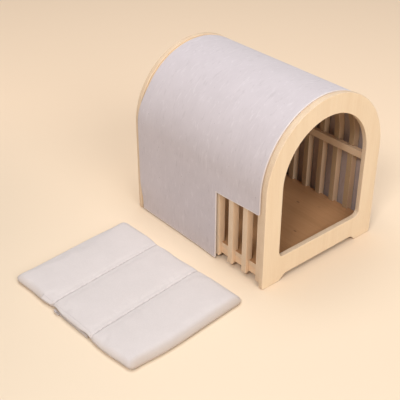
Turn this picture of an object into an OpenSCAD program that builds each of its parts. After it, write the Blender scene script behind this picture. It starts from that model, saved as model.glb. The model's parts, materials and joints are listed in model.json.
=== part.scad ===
// Arched cat house: plywood end panels, arched ribs sawn from plywood, rails and a floor,
// with a felt cover over the ribs and a quilted mat that lies beside the house.
// Millimetres, +Z up, the doorway faces -Y. The origin is on the ground, in the
// middle of the rectangle that the house and the mat cover together.

/* [House] */
// Width of the end panels
house_w = 360; // [330:2:420]
// Length over both end panels
house_l = 450; // [400:2:560]
// Height to the top of the arch
house_h = 416; // [390:2:480]

/* [End panels] */
// Thickness of the end panels
panel_t = 12; // [10:0.5:18]
// Rounding of the bottom outer corners
panel_corner_r = 5; // [2:0.5:12]
// Width of the doorway
door_w = 263; // [200:1:280]
// Height of the top of the doorway above the ground
door_top = 370; // [310:1:380]
// Height of the sill above the ground
sill_h = 66; // [55:1:90]
// Rounding of the doorway's bottom corners
door_corner_r = 15; // [5:1:30]
// Width of the gap between the feet, at the ground
foot_gap_w = 254; // [160:1:280]
// Height of the gap between the feet
foot_gap_h = 14; // [8:0.5:16]
// Run of the sloped end of the gap between the feet
foot_gap_run = 16; // [4:0.5:30]

/* [Ribs] */
// Number of ribs
rib_n = 10; // [6:1:12]
// Thickness of a rib along the house
rib_t = 15; // [10:0.5:18]
// Depth of a rib, from its outer to its inner edge
rib_d = 18; // [16:0.5:24]
// Height of the ribs' feet above the ground
rib_foot_z = 11; // [5:0.5:14]
// Width of the shoulder with which a rib stands on the floor
rib_seat = 8.5; // [5:0.5:10.5]

/* [Floor and rails] */
// Thickness of the floor
floor_t = 12; // [9:0.5:15]
// Height of the floor's top above the ground
floor_top = 44; // [40:0.5:54]
// Thickness of the bottom rails, across the house
bottom_rail_t = 12; // [10:0.5:18]
// Height of the bottom rails
bottom_rail_h = 17; // [12:0.5:18]
// Thickness of the side rails, across the house
side_rail_t = 12; // [9:0.5:16]
// Height of the side rails
side_rail_h = 18.5; // [9:0.5:24]
// Height of the side rails' underside above the ground
side_rail_z = 199; // [150:1:220]
// How deep the side rails are let into the ribs
side_rail_inlet = 6; // [3:0.5:8]

/* [Pegs and screws] */
// Diameter of the wooden pegs
peg_d = 6; // [4:0.5:7]
// How deep a peg sits in an end panel
peg_in_panel = 7; // [5:0.5:8]
// How deep a peg sits in an end rib
peg_in_rib = 9; // [6:0.5:9.5]
// How deep a peg sits in the end of a rail
peg_in_rail = 13; // [8:0.5:20]
// How deep a peg sits in the foot of a rib
peg_in_foot = 6; // [4:0.5:7]
// How deep a rib's peg sits in the side of a bottom rail
peg_in_side = 8; // [5:0.5:9]
// Height of the lower pegs between an end rib and its panel
peg_low_z = 100; // [70:1:140]
// Diameter of the floor screws
screw_d = 4; // [3:0.5:5]
// Diameter of the screw heads
screw_head_d = 8; // [6:0.5:9]
// Height of the screw heads
screw_head_h = 3; // [2:0.5:4]
// How deep the screws bite into the floor
screw_bite = 7; // [4:0.5:8]

/* [Cover] */
// Thickness of the felt
felt_t = 2.5; // [1.5:0.25:4]
// How far the felt lies inside the end panels' edge
felt_sink = 0.4; // [0:0.1:1.5]
// Gap between an end panel and the edge of the felt
felt_end_gap = 6; // [1:0.5:10]
// Height of the felt's hem above the ground
hem_z = 6.5; // [3:0.5:15]
// Length of the cut-away at the front left corner
notch_l = 141; // [60:1:180]
// Height of the top of the cut-away above the ground
notch_top = 183; // [120:1:210]
// Rounding of the cut-away's corners
notch_r = 5; // [2:0.5:12]
// Thickness of the hook pads under the felt
hook_pad_t = 0.8; // [0.6:0.1:1.5]
// Height of a hook pad
hook_pad_h = 40; // [20:1:60]
// Height of the hook pads' lower edge above the ground
hook_pad_z = 52; // [20:1:120]
// Margin of bare wood on each side of a hook pad
hook_pad_margin = 1; // [0.5:0.5:3]

/* [Mat] */
// Width of the mat, along its seams
mat_w = 312; // [260:1:340]
// Length of the mat, across its seams
mat_l = 414; // [340:1:440]
// Thickness of the mat at the crown of a channel
mat_t = 14.5; // [12:0.5:20]
// Height of the mat's rounded edge
mat_edge_h = 11; // [8:0.5:11.5]
// Depth of the rounding of the mat's edge
mat_edge_r = 6; // [3:0.5:8]
// Width of the flat top of a channel's crown
mat_crown_flat = 13; // [6:1:24]
// Rounding of the mat's corners
mat_corner_r = 12; // [8:1:35]
// Rounding of the channels at the ends of a seam
mat_seam_r = 5; // [2:0.5:10]
// How far the seams and the stuffing draw the sides in
mat_pull = 2; // [0:0.25:4]
// Turn of the mat away from square with the house, in degrees
mat_turn = 2.5; // [-10:0.5:10]
// Lean of the mat's seams and short sides off square, in degrees
mat_lean = 3; // [-6:0.5:6]
// Gap between the mat and the side of the house
mat_gap = 64; // [20:0.5:120]
// Distance of the mat's middle behind the front of the house
mat_back = 188; // [150:1:260]

/* [Zip] */
// Length of the zip in the mat's edge
zip_l = 116; // [60:1:120]
// Height of the zip tape
zip_h = 6; // [4:0.5:8]
// Thickness of the zip tape
zip_t = 1; // [0.8:0.1:1.5]
// Length of the slider
slider_l = 9; // [6:0.5:12]
// Height of the slider
slider_h = 7; // [5:0.5:9]
// Thickness of the slider
slider_t = 2.6; // [2:0.1:4]
// Length of the pull tab
pull_l = 15; // [8:0.5:20]
// Height of the pull tab
pull_h = 4.5; // [3:0.5:6]
// Thickness of the pull tab
pull_t = 1.2; // [0.8:0.1:2]

/* [Clearances] */
// Gap at glued wood joints
joint_gap = 0.1; // [0.05:0.05:0.3]
// Gap round a peg or screw
peg_gap = 0.1; // [0.05:0.05:0.2]
// Spare depth at the end of a peg's or screw's hole
hole_spare = 0.5; // [0.2:0.1:1]
// Gap between soft pieces and what they lie on
soft_gap = 0.3; // [0.2:0.05:0.6]

/* [Hidden] */
$fn = 96;
// Overlap that lets a cut run cleanly out of a face
cut = 1;
// Straight height of the walls, below the round arch
spring = house_h - house_w / 2;
door_spring = door_top - door_w / 2;
rib_out = house_w / 2 - felt_sink - felt_t - soft_gap - hook_pad_t;
rib_in = rib_out - rib_d;
rib_mid = rib_out - rib_d / 2;
rib_pitch = (house_l - 2 * panel_t - rib_t) / (rib_n - 1);
foot_in = rib_in + rib_seat;
floor_half = foot_in - joint_gap;
inner_l = house_l - 2 * panel_t;
rail_top = floor_top - floor_t;
rail_bottom = rail_top - bottom_rail_h;
bottom_rail_x = floor_half - bottom_rail_t / 2;
bottom_rail_mid = rail_top - bottom_rail_h / 2;
side_rail_x = rib_in + side_rail_inlet - side_rail_t / 2;
side_rail_mid = side_rail_z + side_rail_h / 2;
peg_r = peg_d / 2;
peg_hole_r = peg_r + peg_gap;
screw_r = screw_d / 2;
screw_seat_z = rail_bottom + hole_spare + screw_head_h;
felt_out = house_w / 2 - felt_sink;
felt_in = felt_out - felt_t;
// The felt bears on the ribs at the top, so its arch sits lower by the pads' thickness
felt_spring = spring - hook_pad_t;
felt_front = panel_t + felt_end_gap;
felt_l = house_l - 2 * felt_front;
notch_end = felt_front + notch_l;

// Place of a rib's middle along the house, counted from 1 at the front
function rib_y(i) = panel_t + rib_t / 2 + (i - 1) * rib_pitch;
function rib_name(i) = str("rib_", i < 10 ? "0" : "", i);
all_ribs = [for (i = [1 : rib_n]) i];
inner_ribs = [for (i = [2 : rib_n - 1]) i];
// The cut-away leaves the front ribs bare on the left, with no hook pads
left_pad_ribs = [for (i = all_ribs) if (rib_y(i) - rib_t / 2 > notch_end) i];
// The floor screws go up through the bottom rails, midway between two ribs
screw_spots = [for (i = [2 : 2 : rib_n - 2]) rib_y(i) + rib_pitch / 2];

// Pegs at an end panel, as [x, z]: those of the rails and those of the end rib
rail_peg_spots = [for (s = [-1, 1], p = [[bottom_rail_x, bottom_rail_mid], [side_rail_x, side_rail_mid]])
    [s * p.x, p.y]];
peg_angles = [0, 45, 90, 135, 180];
rib_peg_spots = concat(
    [for (s = [-1, 1]) [s * rib_mid, peg_low_z]],
    [for (a = peg_angles) [rib_mid * cos(a), spring + rib_mid * sin(a)]]);

// Mat: three stuffed channels that meet at two seams
channel_l = mat_l / 3;
channel_half = (channel_l - soft_gap) / 2;
arc_steps = 4;
side_steps = 8;
edge_steps = 6;
crown_steps = 5;
crown_inset = channel_half - mat_crown_flat / 2;
// The lean shifts a point along the mat by its place across it
mat_slope = tan(mat_lean);
// How far the turned and leaning mat reaches from its middle in a direction of its own axes
function mat_reach(way) = (mat_w / 2 - mat_corner_r) * abs(way.x)
    + (mat_l / 2 - mat_corner_r) * abs(way.y) + mat_corner_r * norm(way);
mat_half_x = mat_reach([cos(mat_turn) - mat_slope * sin(mat_turn), -sin(mat_turn)]);
mat_half_y = mat_reach([sin(mat_turn) + mat_slope * cos(mat_turn), cos(mat_turn)]);

// The zip lies along the left edge of the middle channel, its slider at the rear end
zip_z = mat_edge_h / 2;
zip_x = -mat_w / 2 - soft_gap - zip_t;
zip_y = -mat_slope * mat_w / 2;
slider_x = zip_x - soft_gap - slider_t;

// The house and the mat are centred together over the origin
low_x = -house_w / 2 - mat_gap - 2 * mat_half_x;
low_y = min(0, mat_back - mat_half_y);
high_y = max(house_l, mat_back + mat_half_y);
house_x = -(low_x + house_w / 2) / 2;
house_y = -(low_y + high_y) / 2;
mat_x = house_x - house_w / 2 - mat_gap - mat_half_x;
mat_y = house_y + mat_back;

wood_face = [0.93, 0.79, 0.63];
wood_edge = [0.80, 0.65, 0.50];
wood_floor = [0.76, 0.58, 0.43];
peg_wood = [0.85, 0.71, 0.53];
steel = [0.72, 0.72, 0.70];
felt_grey = [0.82, 0.77, 0.79];
hook_grey = [0.86, 0.84, 0.82];
mat_cloth = [0.88, 0.83, 0.81];
zip_cloth = [0.80, 0.75, 0.74];
zip_metal = [0.60, 0.57, 0.55];

// Frames: the house's own, with its front face at y = 0, and the mat's own
module in_house() { translate([house_x, house_y, 0]) children(); }
module in_mat() { translate([mat_x, mat_y, 0]) rotate(mat_turn) children(); }
module on_side(s) { if (s < 0) mirror([1, 0, 0]) children(); else children(); }
module at_rear() { translate([0, house_l, 0]) mirror([0, 1, 0]) children(); }

// A flat shape drawn in x and z, given a thickness along y
module slab(y, t) { translate([0, y + t, 0]) rotate([90, 0, 0]) linear_extrude(height = t) children(); }
module rod_y(x, y, z, l, r) { translate([x, y, z]) rotate([-90, 0, 0]) cylinder(r = r, h = l); }
module rod_x(x, y, z, l, r) { translate([x, y, z]) rotate([0, 90, 0]) cylinder(r = r, h = l); }

module half_disc(r) {
    intersection() {
        circle(r);
        translate([-r, 0]) square([2 * r, r]);
    }
}

// Round arch on straight legs
module arch(half_w, spring_z, base_z) {
    translate([0, spring_z]) half_disc(half_w);
    translate([-half_w, base_z]) square([2 * half_w, spring_z - base_z]);
}

// The same, with rounded corners at its base
module soft_arch(half_w, spring_z, base_z, r) {
    arch(half_w, spring_z, base_z + r);
    translate([r - half_w, base_z]) square([2 * (half_w - r), r]);
    for (s = [-1, 1]) translate([s * (half_w - r), base_z + r]) circle(r);
}

module foot_gap() {
    low = foot_gap_w / 2 + foot_gap_run * cut / foot_gap_h;
    high = foot_gap_w / 2 - foot_gap_run;
    polygon([[-low, -cut], [low, -cut], [high, foot_gap_h], [-high, foot_gap_h]]);
}

module panel_outline() {
    difference() {
        soft_arch(house_w / 2, spring, 0, panel_corner_r);
        foot_gap();
    }
}

// Blind peg holes in the inner face of an end panel
module panel_holes() {
    depth = peg_in_panel + hole_spare;
    for (p = concat(rail_peg_spots, rib_peg_spots))
        rod_y(p.x, panel_t - depth, p.y, depth + cut, peg_hole_r);
}

module front_panel() {
    color(wood_face) in_house() difference() {
        slab(0, panel_t) difference() {
            panel_outline();
            soft_arch(door_w / 2, door_spring, sill_h, door_corner_r);
        }
        panel_holes();
    }
}

module rear_panel() {
    color(wood_face) in_house() at_rear() difference() {
        slab(0, panel_t) panel_outline();
        panel_holes();
    }
}

// An arched rib with shoulders that stand on the floor and notches for the side rails
module rib_outline() {
    notch_x = rib_in + side_rail_inlet + joint_gap;
    difference() {
        arch(rib_out, spring, rib_foot_z);
        arch(rib_in, spring, rib_foot_z - cut);
        translate([-foot_in, rib_foot_z - cut]) square([2 * foot_in, floor_top - rib_foot_z + cut]);
        translate([-notch_x, side_rail_z - joint_gap]) square([2 * notch_x, side_rail_h + 2 * joint_gap]);
    }
}

// Blind holes in an end rib for the pegs of its panel
module end_rib_holes() {
    for (p = rib_peg_spots)
        rod_y(p.x, panel_t - cut, p.y, peg_in_rib + hole_spare + cut, peg_hole_r);
}

// Blind holes in both feet of a rib for the pegs of the bottom rails
module foot_holes(i) {
    for (s = [-1, 1]) on_side(s)
        rod_x(foot_in - cut, rib_y(i), bottom_rail_mid, peg_in_foot + hole_spare + cut, peg_hole_r);
}

module rib(i) {
    color(wood_edge) in_house() difference() {
        slab(rib_y(i) - rib_t / 2, rib_t) rib_outline();
        if (i == 1) end_rib_holes();
        else if (i == rib_n) at_rear() end_rib_holes();
        else foot_holes(i);
    }
}

// Peg holes in both ends of a rail
module rail_end_holes(x, z) {
    depth = peg_in_rail + hole_spare;
    rod_y(x, panel_t - cut, z, depth + cut, peg_hole_r);
    at_rear() rod_y(x, panel_t - cut, z, depth + cut, peg_hole_r);
}

module bottom_rail(s) {
    side_depth = peg_in_side + hole_spare;
    color(wood_edge) in_house() on_side(s) difference() {
        translate([floor_half - bottom_rail_t, panel_t, rail_bottom])
            cube([bottom_rail_t, inner_l, bottom_rail_h]);
        rail_end_holes(bottom_rail_x, bottom_rail_mid);
        for (i = inner_ribs)
            rod_x(floor_half - side_depth, rib_y(i), bottom_rail_mid, side_depth + cut, peg_hole_r);
        for (y = screw_spots) translate([bottom_rail_x, y, 0]) screw_hole();
    }
}

module side_rail(s) {
    color(wood_edge) in_house() on_side(s) difference() {
        translate([side_rail_x - side_rail_t / 2, panel_t, side_rail_z])
            cube([side_rail_t, inner_l, side_rail_h]);
        rail_end_holes(side_rail_x, side_rail_mid);
    }
}

module floor_panel() {
    color(wood_floor) in_house() difference() {
        translate([-floor_half, panel_t, rail_top]) cube([2 * floor_half, inner_l, floor_t]);
        for (s = [-1, 1], y = screw_spots) translate([s * bottom_rail_x, y, 0]) screw_hole();
    }
}

// A floor screw stands head down in the rail's underside
module screw_hole() {
    translate([0, 0, rail_bottom - cut])
        cylinder(r = screw_r + peg_gap, h = bottom_rail_h + cut + screw_bite + hole_spare);
    translate([0, 0, rail_bottom - cut])
        cylinder(r = screw_head_d / 2 + peg_gap, h = cut + hole_spare + screw_head_h);
}

module screw() {
    translate([0, 0, screw_seat_z - screw_head_h]) cylinder(r = screw_head_d / 2, h = screw_head_h);
    translate([0, 0, screw_seat_z]) cylinder(r = screw_r, h = rail_top + screw_bite - screw_seat_z);
}

module floor_screws() {
    color(steel) in_house()
        for (s = [-1, 1], y = screw_spots) translate([s * bottom_rail_x, y, 0]) screw();
}

module end_pegs(spots, inward) {
    color(peg_wood) for (p = spots)
        rod_y(p.x, panel_t - peg_in_panel, p.y, peg_in_panel + inward, peg_r);
}

module front_rail_pegs() { in_house() end_pegs(rail_peg_spots, peg_in_rail); }
module rear_rail_pegs() { in_house() at_rear() end_pegs(rail_peg_spots, peg_in_rail); }
module front_rib_pegs() { in_house() end_pegs(rib_peg_spots, peg_in_rib); }
module rear_rib_pegs() { in_house() at_rear() end_pegs(rib_peg_spots, peg_in_rib); }

module foot_pegs(s) {
    length = peg_in_side + joint_gap + peg_in_foot;
    color(peg_wood) in_house() on_side(s) for (i = inner_ribs)
        rod_x(floor_half - peg_in_side, rib_y(i), bottom_rail_mid, length, peg_r);
}

// The cut-away, drawn in y and z, with the felt's corners rounded off beside it
module notch_shape() {
    floor_z = hem_z - cut;
    translate([-cut, floor_z]) square([notch_l + cut, notch_top - notch_r - floor_z]);
    translate([-cut, floor_z]) square([notch_l + cut - notch_r, notch_top - floor_z]);
    translate([notch_l - notch_r, notch_top - notch_r]) circle(notch_r);
    translate([0, notch_top]) corner_cut();
    translate([notch_l, hem_z]) corner_cut();
}

module corner_cut() {
    difference() {
        translate([-cut, -cut]) square(notch_r + cut);
        translate([notch_r, notch_r]) circle(notch_r);
    }
}

module felt_cover() {
    color(felt_grey) in_house() difference() {
        slab(felt_front, felt_l) difference() {
            arch(felt_out, felt_spring, hem_z);
            arch(felt_in, felt_spring, hem_z - cut);
        }
        translate([-house_w / 2 - cut, felt_front, 0]) rotate([90, 0, 90])
            linear_extrude(height = house_w / 2) notch_shape();
    }
}

module hook_pads(s, ribs) {
    width = rib_t - 2 * hook_pad_margin;
    color(hook_grey) in_house() on_side(s) for (i = ribs)
        translate([rib_out, rib_y(i) - width / 2, hook_pad_z]) cube([hook_pad_t, width, hook_pad_h]);
}

// Outline of a channel, counter-clockwise from its +x side, with its own rounding at each end
function channel_corner(c, hx, hy, r) =
    let (sx = c == 0 || c == 3 ? 1 : -1, sy = c < 2 ? 1 : -1)
    [for (k = [0 : arc_steps]) let (a = 90 * (c + k / arc_steps))
        [sx * (hx - r) + r * cos(a), sy * (hy - r) + r * sin(a)]];
function between(p, q) = [for (k = [1 : side_steps - 1]) p + (q - p) * k / side_steps];
function channel_outline(hx, hy, low_r, high_r) =
    let (arcs = [for (c = [0 : 3]) channel_corner(c, hx, hy, c < 2 ? high_r : low_r)])
    [for (c = [0 : 3]) each concat(arcs[c], between(arcs[c][arc_steps], arcs[(c + 1) % 4][0]))];

// Seams draw the long sides in, and the outer ends draw in between their corners
function drawn_in(p, hx, hy, low_seam, high_seam) =
    let (t = p.y / hy, a = p.x / hx, seam = t < 0 ? low_seam : high_seam)
    [p.x - (seam ? mat_pull * t * t * a : 0), p.y - (seam ? 0 : mat_pull * t * abs(t) * (1 - a * a))];

// Rounded edge from the ground up, then the crown, as [inset, height, roundness of the ends]
channel_profile = concat(
    [for (k = [0 : edge_steps]) let (a = 180 * k / edge_steps - 90)
        [mat_edge_r * (1 - cos(a)), mat_edge_h * (1 + sin(a)) / 2, 0]],
    [for (k = [1 : crown_steps]) let (s = k / crown_steps)
        [mat_edge_r + (crown_inset - mat_edge_r) * s, mat_edge_h + (mat_t - mat_edge_h) * sin(90 * s), s]]);

function channel_ring(k, low_seam, high_seam) =
    let (inset = channel_profile[k][0], z = channel_profile[k][1],
         hx = mat_w / 2 - inset, hy = channel_half - inset,
         least_r = max(min(mat_seam_r, hy) / 2, hy * channel_profile[k][2]),
         low_r = max((low_seam ? mat_seam_r : mat_corner_r) - inset, least_r),
         high_r = max((high_seam ? mat_seam_r : mat_corner_r) - inset, least_r))
    [for (p = channel_outline(hx, hy, low_r, high_r))
        let (q = drawn_in(p, hx, hy, low_seam, high_seam)) [q.x, q.y + mat_slope * q.x, z]];

// One stuffed channel: flat below, round at its edges, crowned on top
module channel(low_seam, high_seam) {
    rings = len(channel_profile);
    points = [for (k = [0 : rings - 1]) each channel_ring(k, low_seam, high_seam)];
    n = len(points) / rings;
    bottom = len(points);
    top = bottom + 1;
    last = (rings - 1) * n;
    walls = [for (k = [0 : rings - 2], j = [0 : n - 1])
        let (a = k * n + j, b = k * n + (j + 1) % n) each [[a, a + n, b + n], [a, b + n, b]]];
    lids = [for (j = [0 : n - 1])
        let (m = (j + 1) % n) each [[bottom, j, m], [top, last + m, last + j]]];
    polyhedron(concat(points, [[0, 0, 0], [0, 0, mat_t]]), concat(walls, lids));
}

module mat_front_pad() { color(mat_cloth) in_mat() translate([0, -channel_l, 0]) channel(false, true); }
module mat_middle_pad() { color(mat_cloth) in_mat() channel(true, true); }
module mat_rear_pad() { color(mat_cloth) in_mat() translate([0, channel_l, 0]) channel(true, false); }

module zip_tape() {
    color(zip_cloth) in_mat()
        translate([zip_x, zip_y - zip_l / 2, zip_z - zip_h / 2]) cube([zip_t, zip_l, zip_h]);
}

module zip_slider() {
    color(zip_metal) in_mat() translate([slider_x, zip_y + zip_l / 2 - slider_l, zip_z]) {
        translate([0, 0, -slider_h / 2]) cube([slider_t, slider_l, slider_h]);
        translate([-pull_t, slider_l / 2 - pull_l, -pull_h / 2]) cube([pull_t, pull_l, pull_h]);
    }
}

front_panel();
rear_panel();
for (i = all_ribs) rib(i);
bottom_rail(-1);  // left_bottom_rail
bottom_rail(1);  // right_bottom_rail
side_rail(-1);  // left_side_rail
side_rail(1);  // right_side_rail
floor_panel();
front_rail_pegs();
rear_rail_pegs();
front_rib_pegs();
rear_rib_pegs();
foot_pegs(-1);  // left_foot_pegs
foot_pegs(1);  // right_foot_pegs
floor_screws();
felt_cover();
hook_pads(-1, left_pad_ribs);  // left_hook_pads
hook_pads(1, all_ribs);  // right_hook_pads
mat_front_pad();
mat_middle_pad();
mat_rear_pad();
zip_tape();
zip_slider();
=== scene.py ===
# %% [markdown]
# # A felt-covered cat house
#
# The house is a row of arched plywood ribs between two end panels, with a felt cover laid over them. A
# quilted mat lies beside it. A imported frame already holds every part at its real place, in metres. This
# lesson dresses that frame: the wood is remodelled with eased edges, cloth is made as cloth, and every
# surface gets a finish made of nodes. Nothing in the frame is moved.

# %% Load the frame
import json
import math

import bmesh
import bpy
from mathutils import Matrix, Vector, noise
from mathutils.bvhtree import BVHTree


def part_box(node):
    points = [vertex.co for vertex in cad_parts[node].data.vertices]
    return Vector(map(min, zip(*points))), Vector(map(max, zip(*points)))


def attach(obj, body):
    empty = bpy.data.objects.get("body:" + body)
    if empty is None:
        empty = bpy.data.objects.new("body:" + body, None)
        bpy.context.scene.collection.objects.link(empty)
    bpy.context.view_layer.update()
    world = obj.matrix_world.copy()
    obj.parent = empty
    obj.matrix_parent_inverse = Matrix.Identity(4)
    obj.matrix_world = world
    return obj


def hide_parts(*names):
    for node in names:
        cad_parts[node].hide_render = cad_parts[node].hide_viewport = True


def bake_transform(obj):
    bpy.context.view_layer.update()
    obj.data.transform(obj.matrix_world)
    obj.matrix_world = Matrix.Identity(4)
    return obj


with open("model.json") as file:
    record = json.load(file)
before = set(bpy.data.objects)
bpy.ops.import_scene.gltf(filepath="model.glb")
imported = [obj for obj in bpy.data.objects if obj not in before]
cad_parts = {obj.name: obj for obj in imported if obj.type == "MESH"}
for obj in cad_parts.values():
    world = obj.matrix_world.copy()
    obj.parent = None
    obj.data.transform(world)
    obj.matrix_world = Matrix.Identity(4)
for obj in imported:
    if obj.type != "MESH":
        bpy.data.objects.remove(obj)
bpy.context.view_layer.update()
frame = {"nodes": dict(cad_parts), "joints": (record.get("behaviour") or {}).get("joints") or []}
JOINTS = {joint["name"]: joint for joint in frame["joints"]}
print("nodes in the frame:", len(frame["nodes"]))

# %% [markdown]
# ## The camera
#
# The camera stands where the photographer stood: in front of the house, to its left and above it. Its
# place is given from the foot of the doorway's middle, so that it follows the house. Depth of field stays
# off, because other views reuse this camera.

# %% Camera
panel_low, panel_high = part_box("front_panel")
HOUSE_X = (panel_low.x + panel_high.x) / 2
FRONT_Y = panel_low.y
EYE_FROM_DOOR = Vector((-1.2147, -1.0132, 1.1507))
TILT_DEG = 57.612
PAN_DEG = -40.202
LENS_MM = 74.92


def fresh_start():
    """Deselect everything, so that the next operator acts on the new piece alone."""
    bpy.ops.object.select_all(action="DESELECT")


EYE = Vector((HOUSE_X, FRONT_Y, 0)) + EYE_FROM_DOOR
fresh_start()
bpy.ops.object.camera_add(location=EYE, rotation=(math.radians(TILT_DEG), 0, math.radians(PAN_DEG)))
camera = bpy.context.object
camera.name = "photo_camera"
AWAY = Vector((-math.sin(math.radians(PAN_DEG)), math.cos(math.radians(PAN_DEG))))
camera.data.lens = LENS_MM
bpy.context.scene.camera = camera
bpy.context.scene.view_settings.view_transform = "Standard"
print("camera at", [round(v, 3) for v in EYE], "with a lens of", LENS_MM, "mm")

# %% [markdown]
# ## The light
#
# A product photographer lights pale felt and birch with large soft sources. A wide box overhead gives the
# even light, a wide box in front lights the panel with the doorway, and a small one on the left draws the
# soft shadow on the right. A little light from all around keeps the inside of the house readable. Each
# lamp has a place and a side in metres, and a power in watts.

# %% Light
AIR_STRENGTH = 0.16
AIR_TINT = (1.0, 0.98, 0.96, 1.0)
AIM = Vector((0.0, 0.0, 0.15))
LAMPS = {
    "top_box": ((0.2, 0.6, 5.0), 3.6, 146),
    "front_box": ((-0.5, -4.0, 2.8), 3.0, 114),
    "left_box": ((-2.45, -1.5, 3.0), 0.9, 64),
}


def softbox(name, place, size, power):
    """A square lamp that looks at the object."""
    bpy.ops.object.light_add(type="AREA", location=place)
    lamp = bpy.context.object
    lamp.name = name
    lamp.rotation_euler = (AIM - Vector(place)).to_track_quat("-Z", "Y").to_euler()
    lamp.data.size = size
    lamp.data.energy = power


world = bpy.data.worlds.new("studio_air")
bpy.context.scene.world = world
world.use_nodes = True
air = world.node_tree.nodes["Background"]
air.inputs["Color"].default_value = AIR_TINT
air.inputs["Strength"].default_value = AIR_STRENGTH
for name, (place, size, power) in LAMPS.items():
    softbox(name, place, size, power)
print("lamps:", list(LAMPS))

# %% [markdown]
# ## Shader maths in Python
#
# A finish is a small net of nodes. Wiring it by hand takes many lines, so one class wraps a socket: sums
# of wires add Math nodes, and one method adds any other node with its settings and its sockets.


# %% A wire between nodes
class Wire:
    """One output socket in a material. Sums of wires add Math nodes."""

    def __init__(self, tree, socket):
        self.tree = tree
        self.socket = socket

    def node(self, kind, settings, sockets, out=0):
        made = self.tree.nodes.new("ShaderNode" + kind)
        for name, value in settings.items():
            setattr(made, name, value)
        plug_in(self.tree, made, sockets)
        return Wire(self.tree, made.outputs[out])

    def math(self, operation, first, second=0.0):
        return self.node("Math", {"operation": operation}, {0: first, 1: second})

    def __add__(self, other):
        return self.math("ADD", self, other)

    def __sub__(self, other):
        return self.math("SUBTRACT", self, other)

    def __rsub__(self, other):
        return self.math("SUBTRACT", other, self)

    def __mul__(self, other):
        return self.math("MULTIPLY", self, other)

    def __truediv__(self, other):
        return self.math("DIVIDE", self, other)

    __radd__ = __add__
    __rmul__ = __mul__

    def axis(self, name):
        return self.node("SeparateXYZ", {}, {0: self}, "XYZ".index(name))

    def noise(self, waves, detail=2.0, twist=0.0):
        """Noise with a number of waves per metre, for all axes or for each."""
        each = waves if isinstance(waves, tuple) else (waves, waves, waves)
        spread = self.node("VectorMath", {"operation": "MULTIPLY"}, {0: self, 1: each})
        sockets = {"Vector": spread, "Scale": 1.0, "Detail": detail, "Distortion": twist}
        return self.node("TexNoise", {}, sockets)

    def stored(self, name):
        """A number that is stored on the points of the piece."""
        return self.node("Attribute", {"attribute_name": name}, {}, 2)

    def step(self, low, high):
        """A soft step from 0 at low to 1 at high."""
        return self.node("MapRange", {"interpolation_type": "SMOOTHSTEP"},
                         {"Value": self, "From Min": low, "From Max": high})

    def mix(self, first, second):
        """The first colour where this wire is 0 and the second where it is 1."""
        return self.node("Mix", {"data_type": "RGBA"}, {0: self, 6: first, 7: second}, 2)

    def bump(self, depth):
        """A normal that is pushed in and out by this wire, by a depth in metres."""
        return self.node("Bump", {}, {"Distance": depth, "Height": self})


def plug_in(tree, node, sockets):
    """Give a node's sockets their links or plain values."""
    for key, value in sockets.items():
        if isinstance(value, Wire):
            tree.links.new(value.socket, node.inputs[key])
        else:
            node.inputs[key].default_value = value


def new_material(name, coordinate="Object"):
    """A material, a wire of its coordinates and a function that sets its shader's sockets."""
    material = bpy.data.materials.new(name)
    material.use_nodes = True
    tree = material.node_tree
    shader = tree.nodes["Principled BSDF"]
    place = Wire(tree, tree.nodes.new("ShaderNodeTexCoord").outputs[coordinate])
    return material, place, lambda sockets: plug_in(tree, shader, sockets)


def tone(red, green, blue):
    return (red, green, blue, 1.0)


print("wires ready")

# %% [markdown]
# ## The floor under it
#
# The studio floor is a sheet of warm pale paper that runs out of the picture on all sides. It isn't part
# of the object. Its colour holds painted light: it is painted paler far away, where the lamps reach less,
# and painted darker at the left of the picture, as painted shade. A trace of noise makes both fade unevenly.

# %% Paper floor
FLOOR_SIZE = 16.0
FLOOR_DROP = 0.0003
PAPER_NEAR = tone(0.79, 0.645, 0.485)
PAPER_FAR = tone(0.95, 0.735, 0.535)
PAPER_SIDE_SHADE = tone(0.71, 0.575, 0.43)
FADE_FROM = -0.7
FADE_TO = 0.9
LEFT_FROM = -0.75
LEFT_TO = 0.0
LEFT_SHADE_SHARE = 0.9
PAPER_CLOUDS = 3
CLOUD_DRIFT = 0.1


def paper():
    material, place, shade = new_material("studio_paper")
    away = place.axis("X") * AWAY.x + place.axis("Y") * AWAY.y
    aside = place.axis("X") * AWAY.y - place.axis("Y") * AWAY.x
    drift = (place.noise(PAPER_CLOUDS) - 0.5) * CLOUD_DRIFT
    # Painted light: the paper is painted paler far away, where the lamps reach less, and darker at the left
    # of the picture, as painted shade.
    sheet = (away + drift).step(FADE_FROM, FADE_TO).mix(PAPER_NEAR, PAPER_FAR)
    left = (1 - (aside + drift).step(LEFT_FROM, LEFT_TO)) * (1 - away.step(0.0, FADE_TO))
    shade({"Base Color": (left * LEFT_SHADE_SHARE).mix(sheet, PAPER_SIDE_SHADE), "Roughness": 0.9})
    return material


fresh_start()
bpy.ops.mesh.primitive_plane_add(size=FLOOR_SIZE, location=(0, 0, -FLOOR_DROP))
floor_paper = bpy.context.object
floor_paper.name = "floor_paper"
bpy.ops.object.transform_apply(location=True, rotation=True, scale=True)
floor_paper.data.materials.append(paper())
print("floor of", FLOOR_SIZE, "m")

# %% [markdown]
# ## Birch
#
# Two finishes make all the wood. On its face, birch plywood shows a peeled veneer: broad pale waves, fine
# grain lines and short pores, all drawn out along the grain, and sometimes a knot. On its edge it shows
# its layers, light where the grain runs along the edge, darker where the layer is cut across, with a thin
# line of glue between. Noise that is stretched along one axis gives the first, and a wave that counts
# layers through the thickness the second.

# %% Birch face
BIRCH_LIGHT = tone(0.86, 0.675, 0.470)
BIRCH_DARK = tone(0.80, 0.60, 0.395)
BIRCH_PORE = tone(0.66, 0.42, 0.24)
KNOT_BROWN = tone(0.22, 0.10, 0.045)
BROAD_WAVES = (26, 2.5)
GRAIN_LINES = (420, 9)
PORE_MARKS = (1300, 70)
WAVE_SHARE = 0.4
LINE_SHARE = 0.25
PORE_SHARE = 0.22
VENEER_RELIEF = 0.00005


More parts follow.
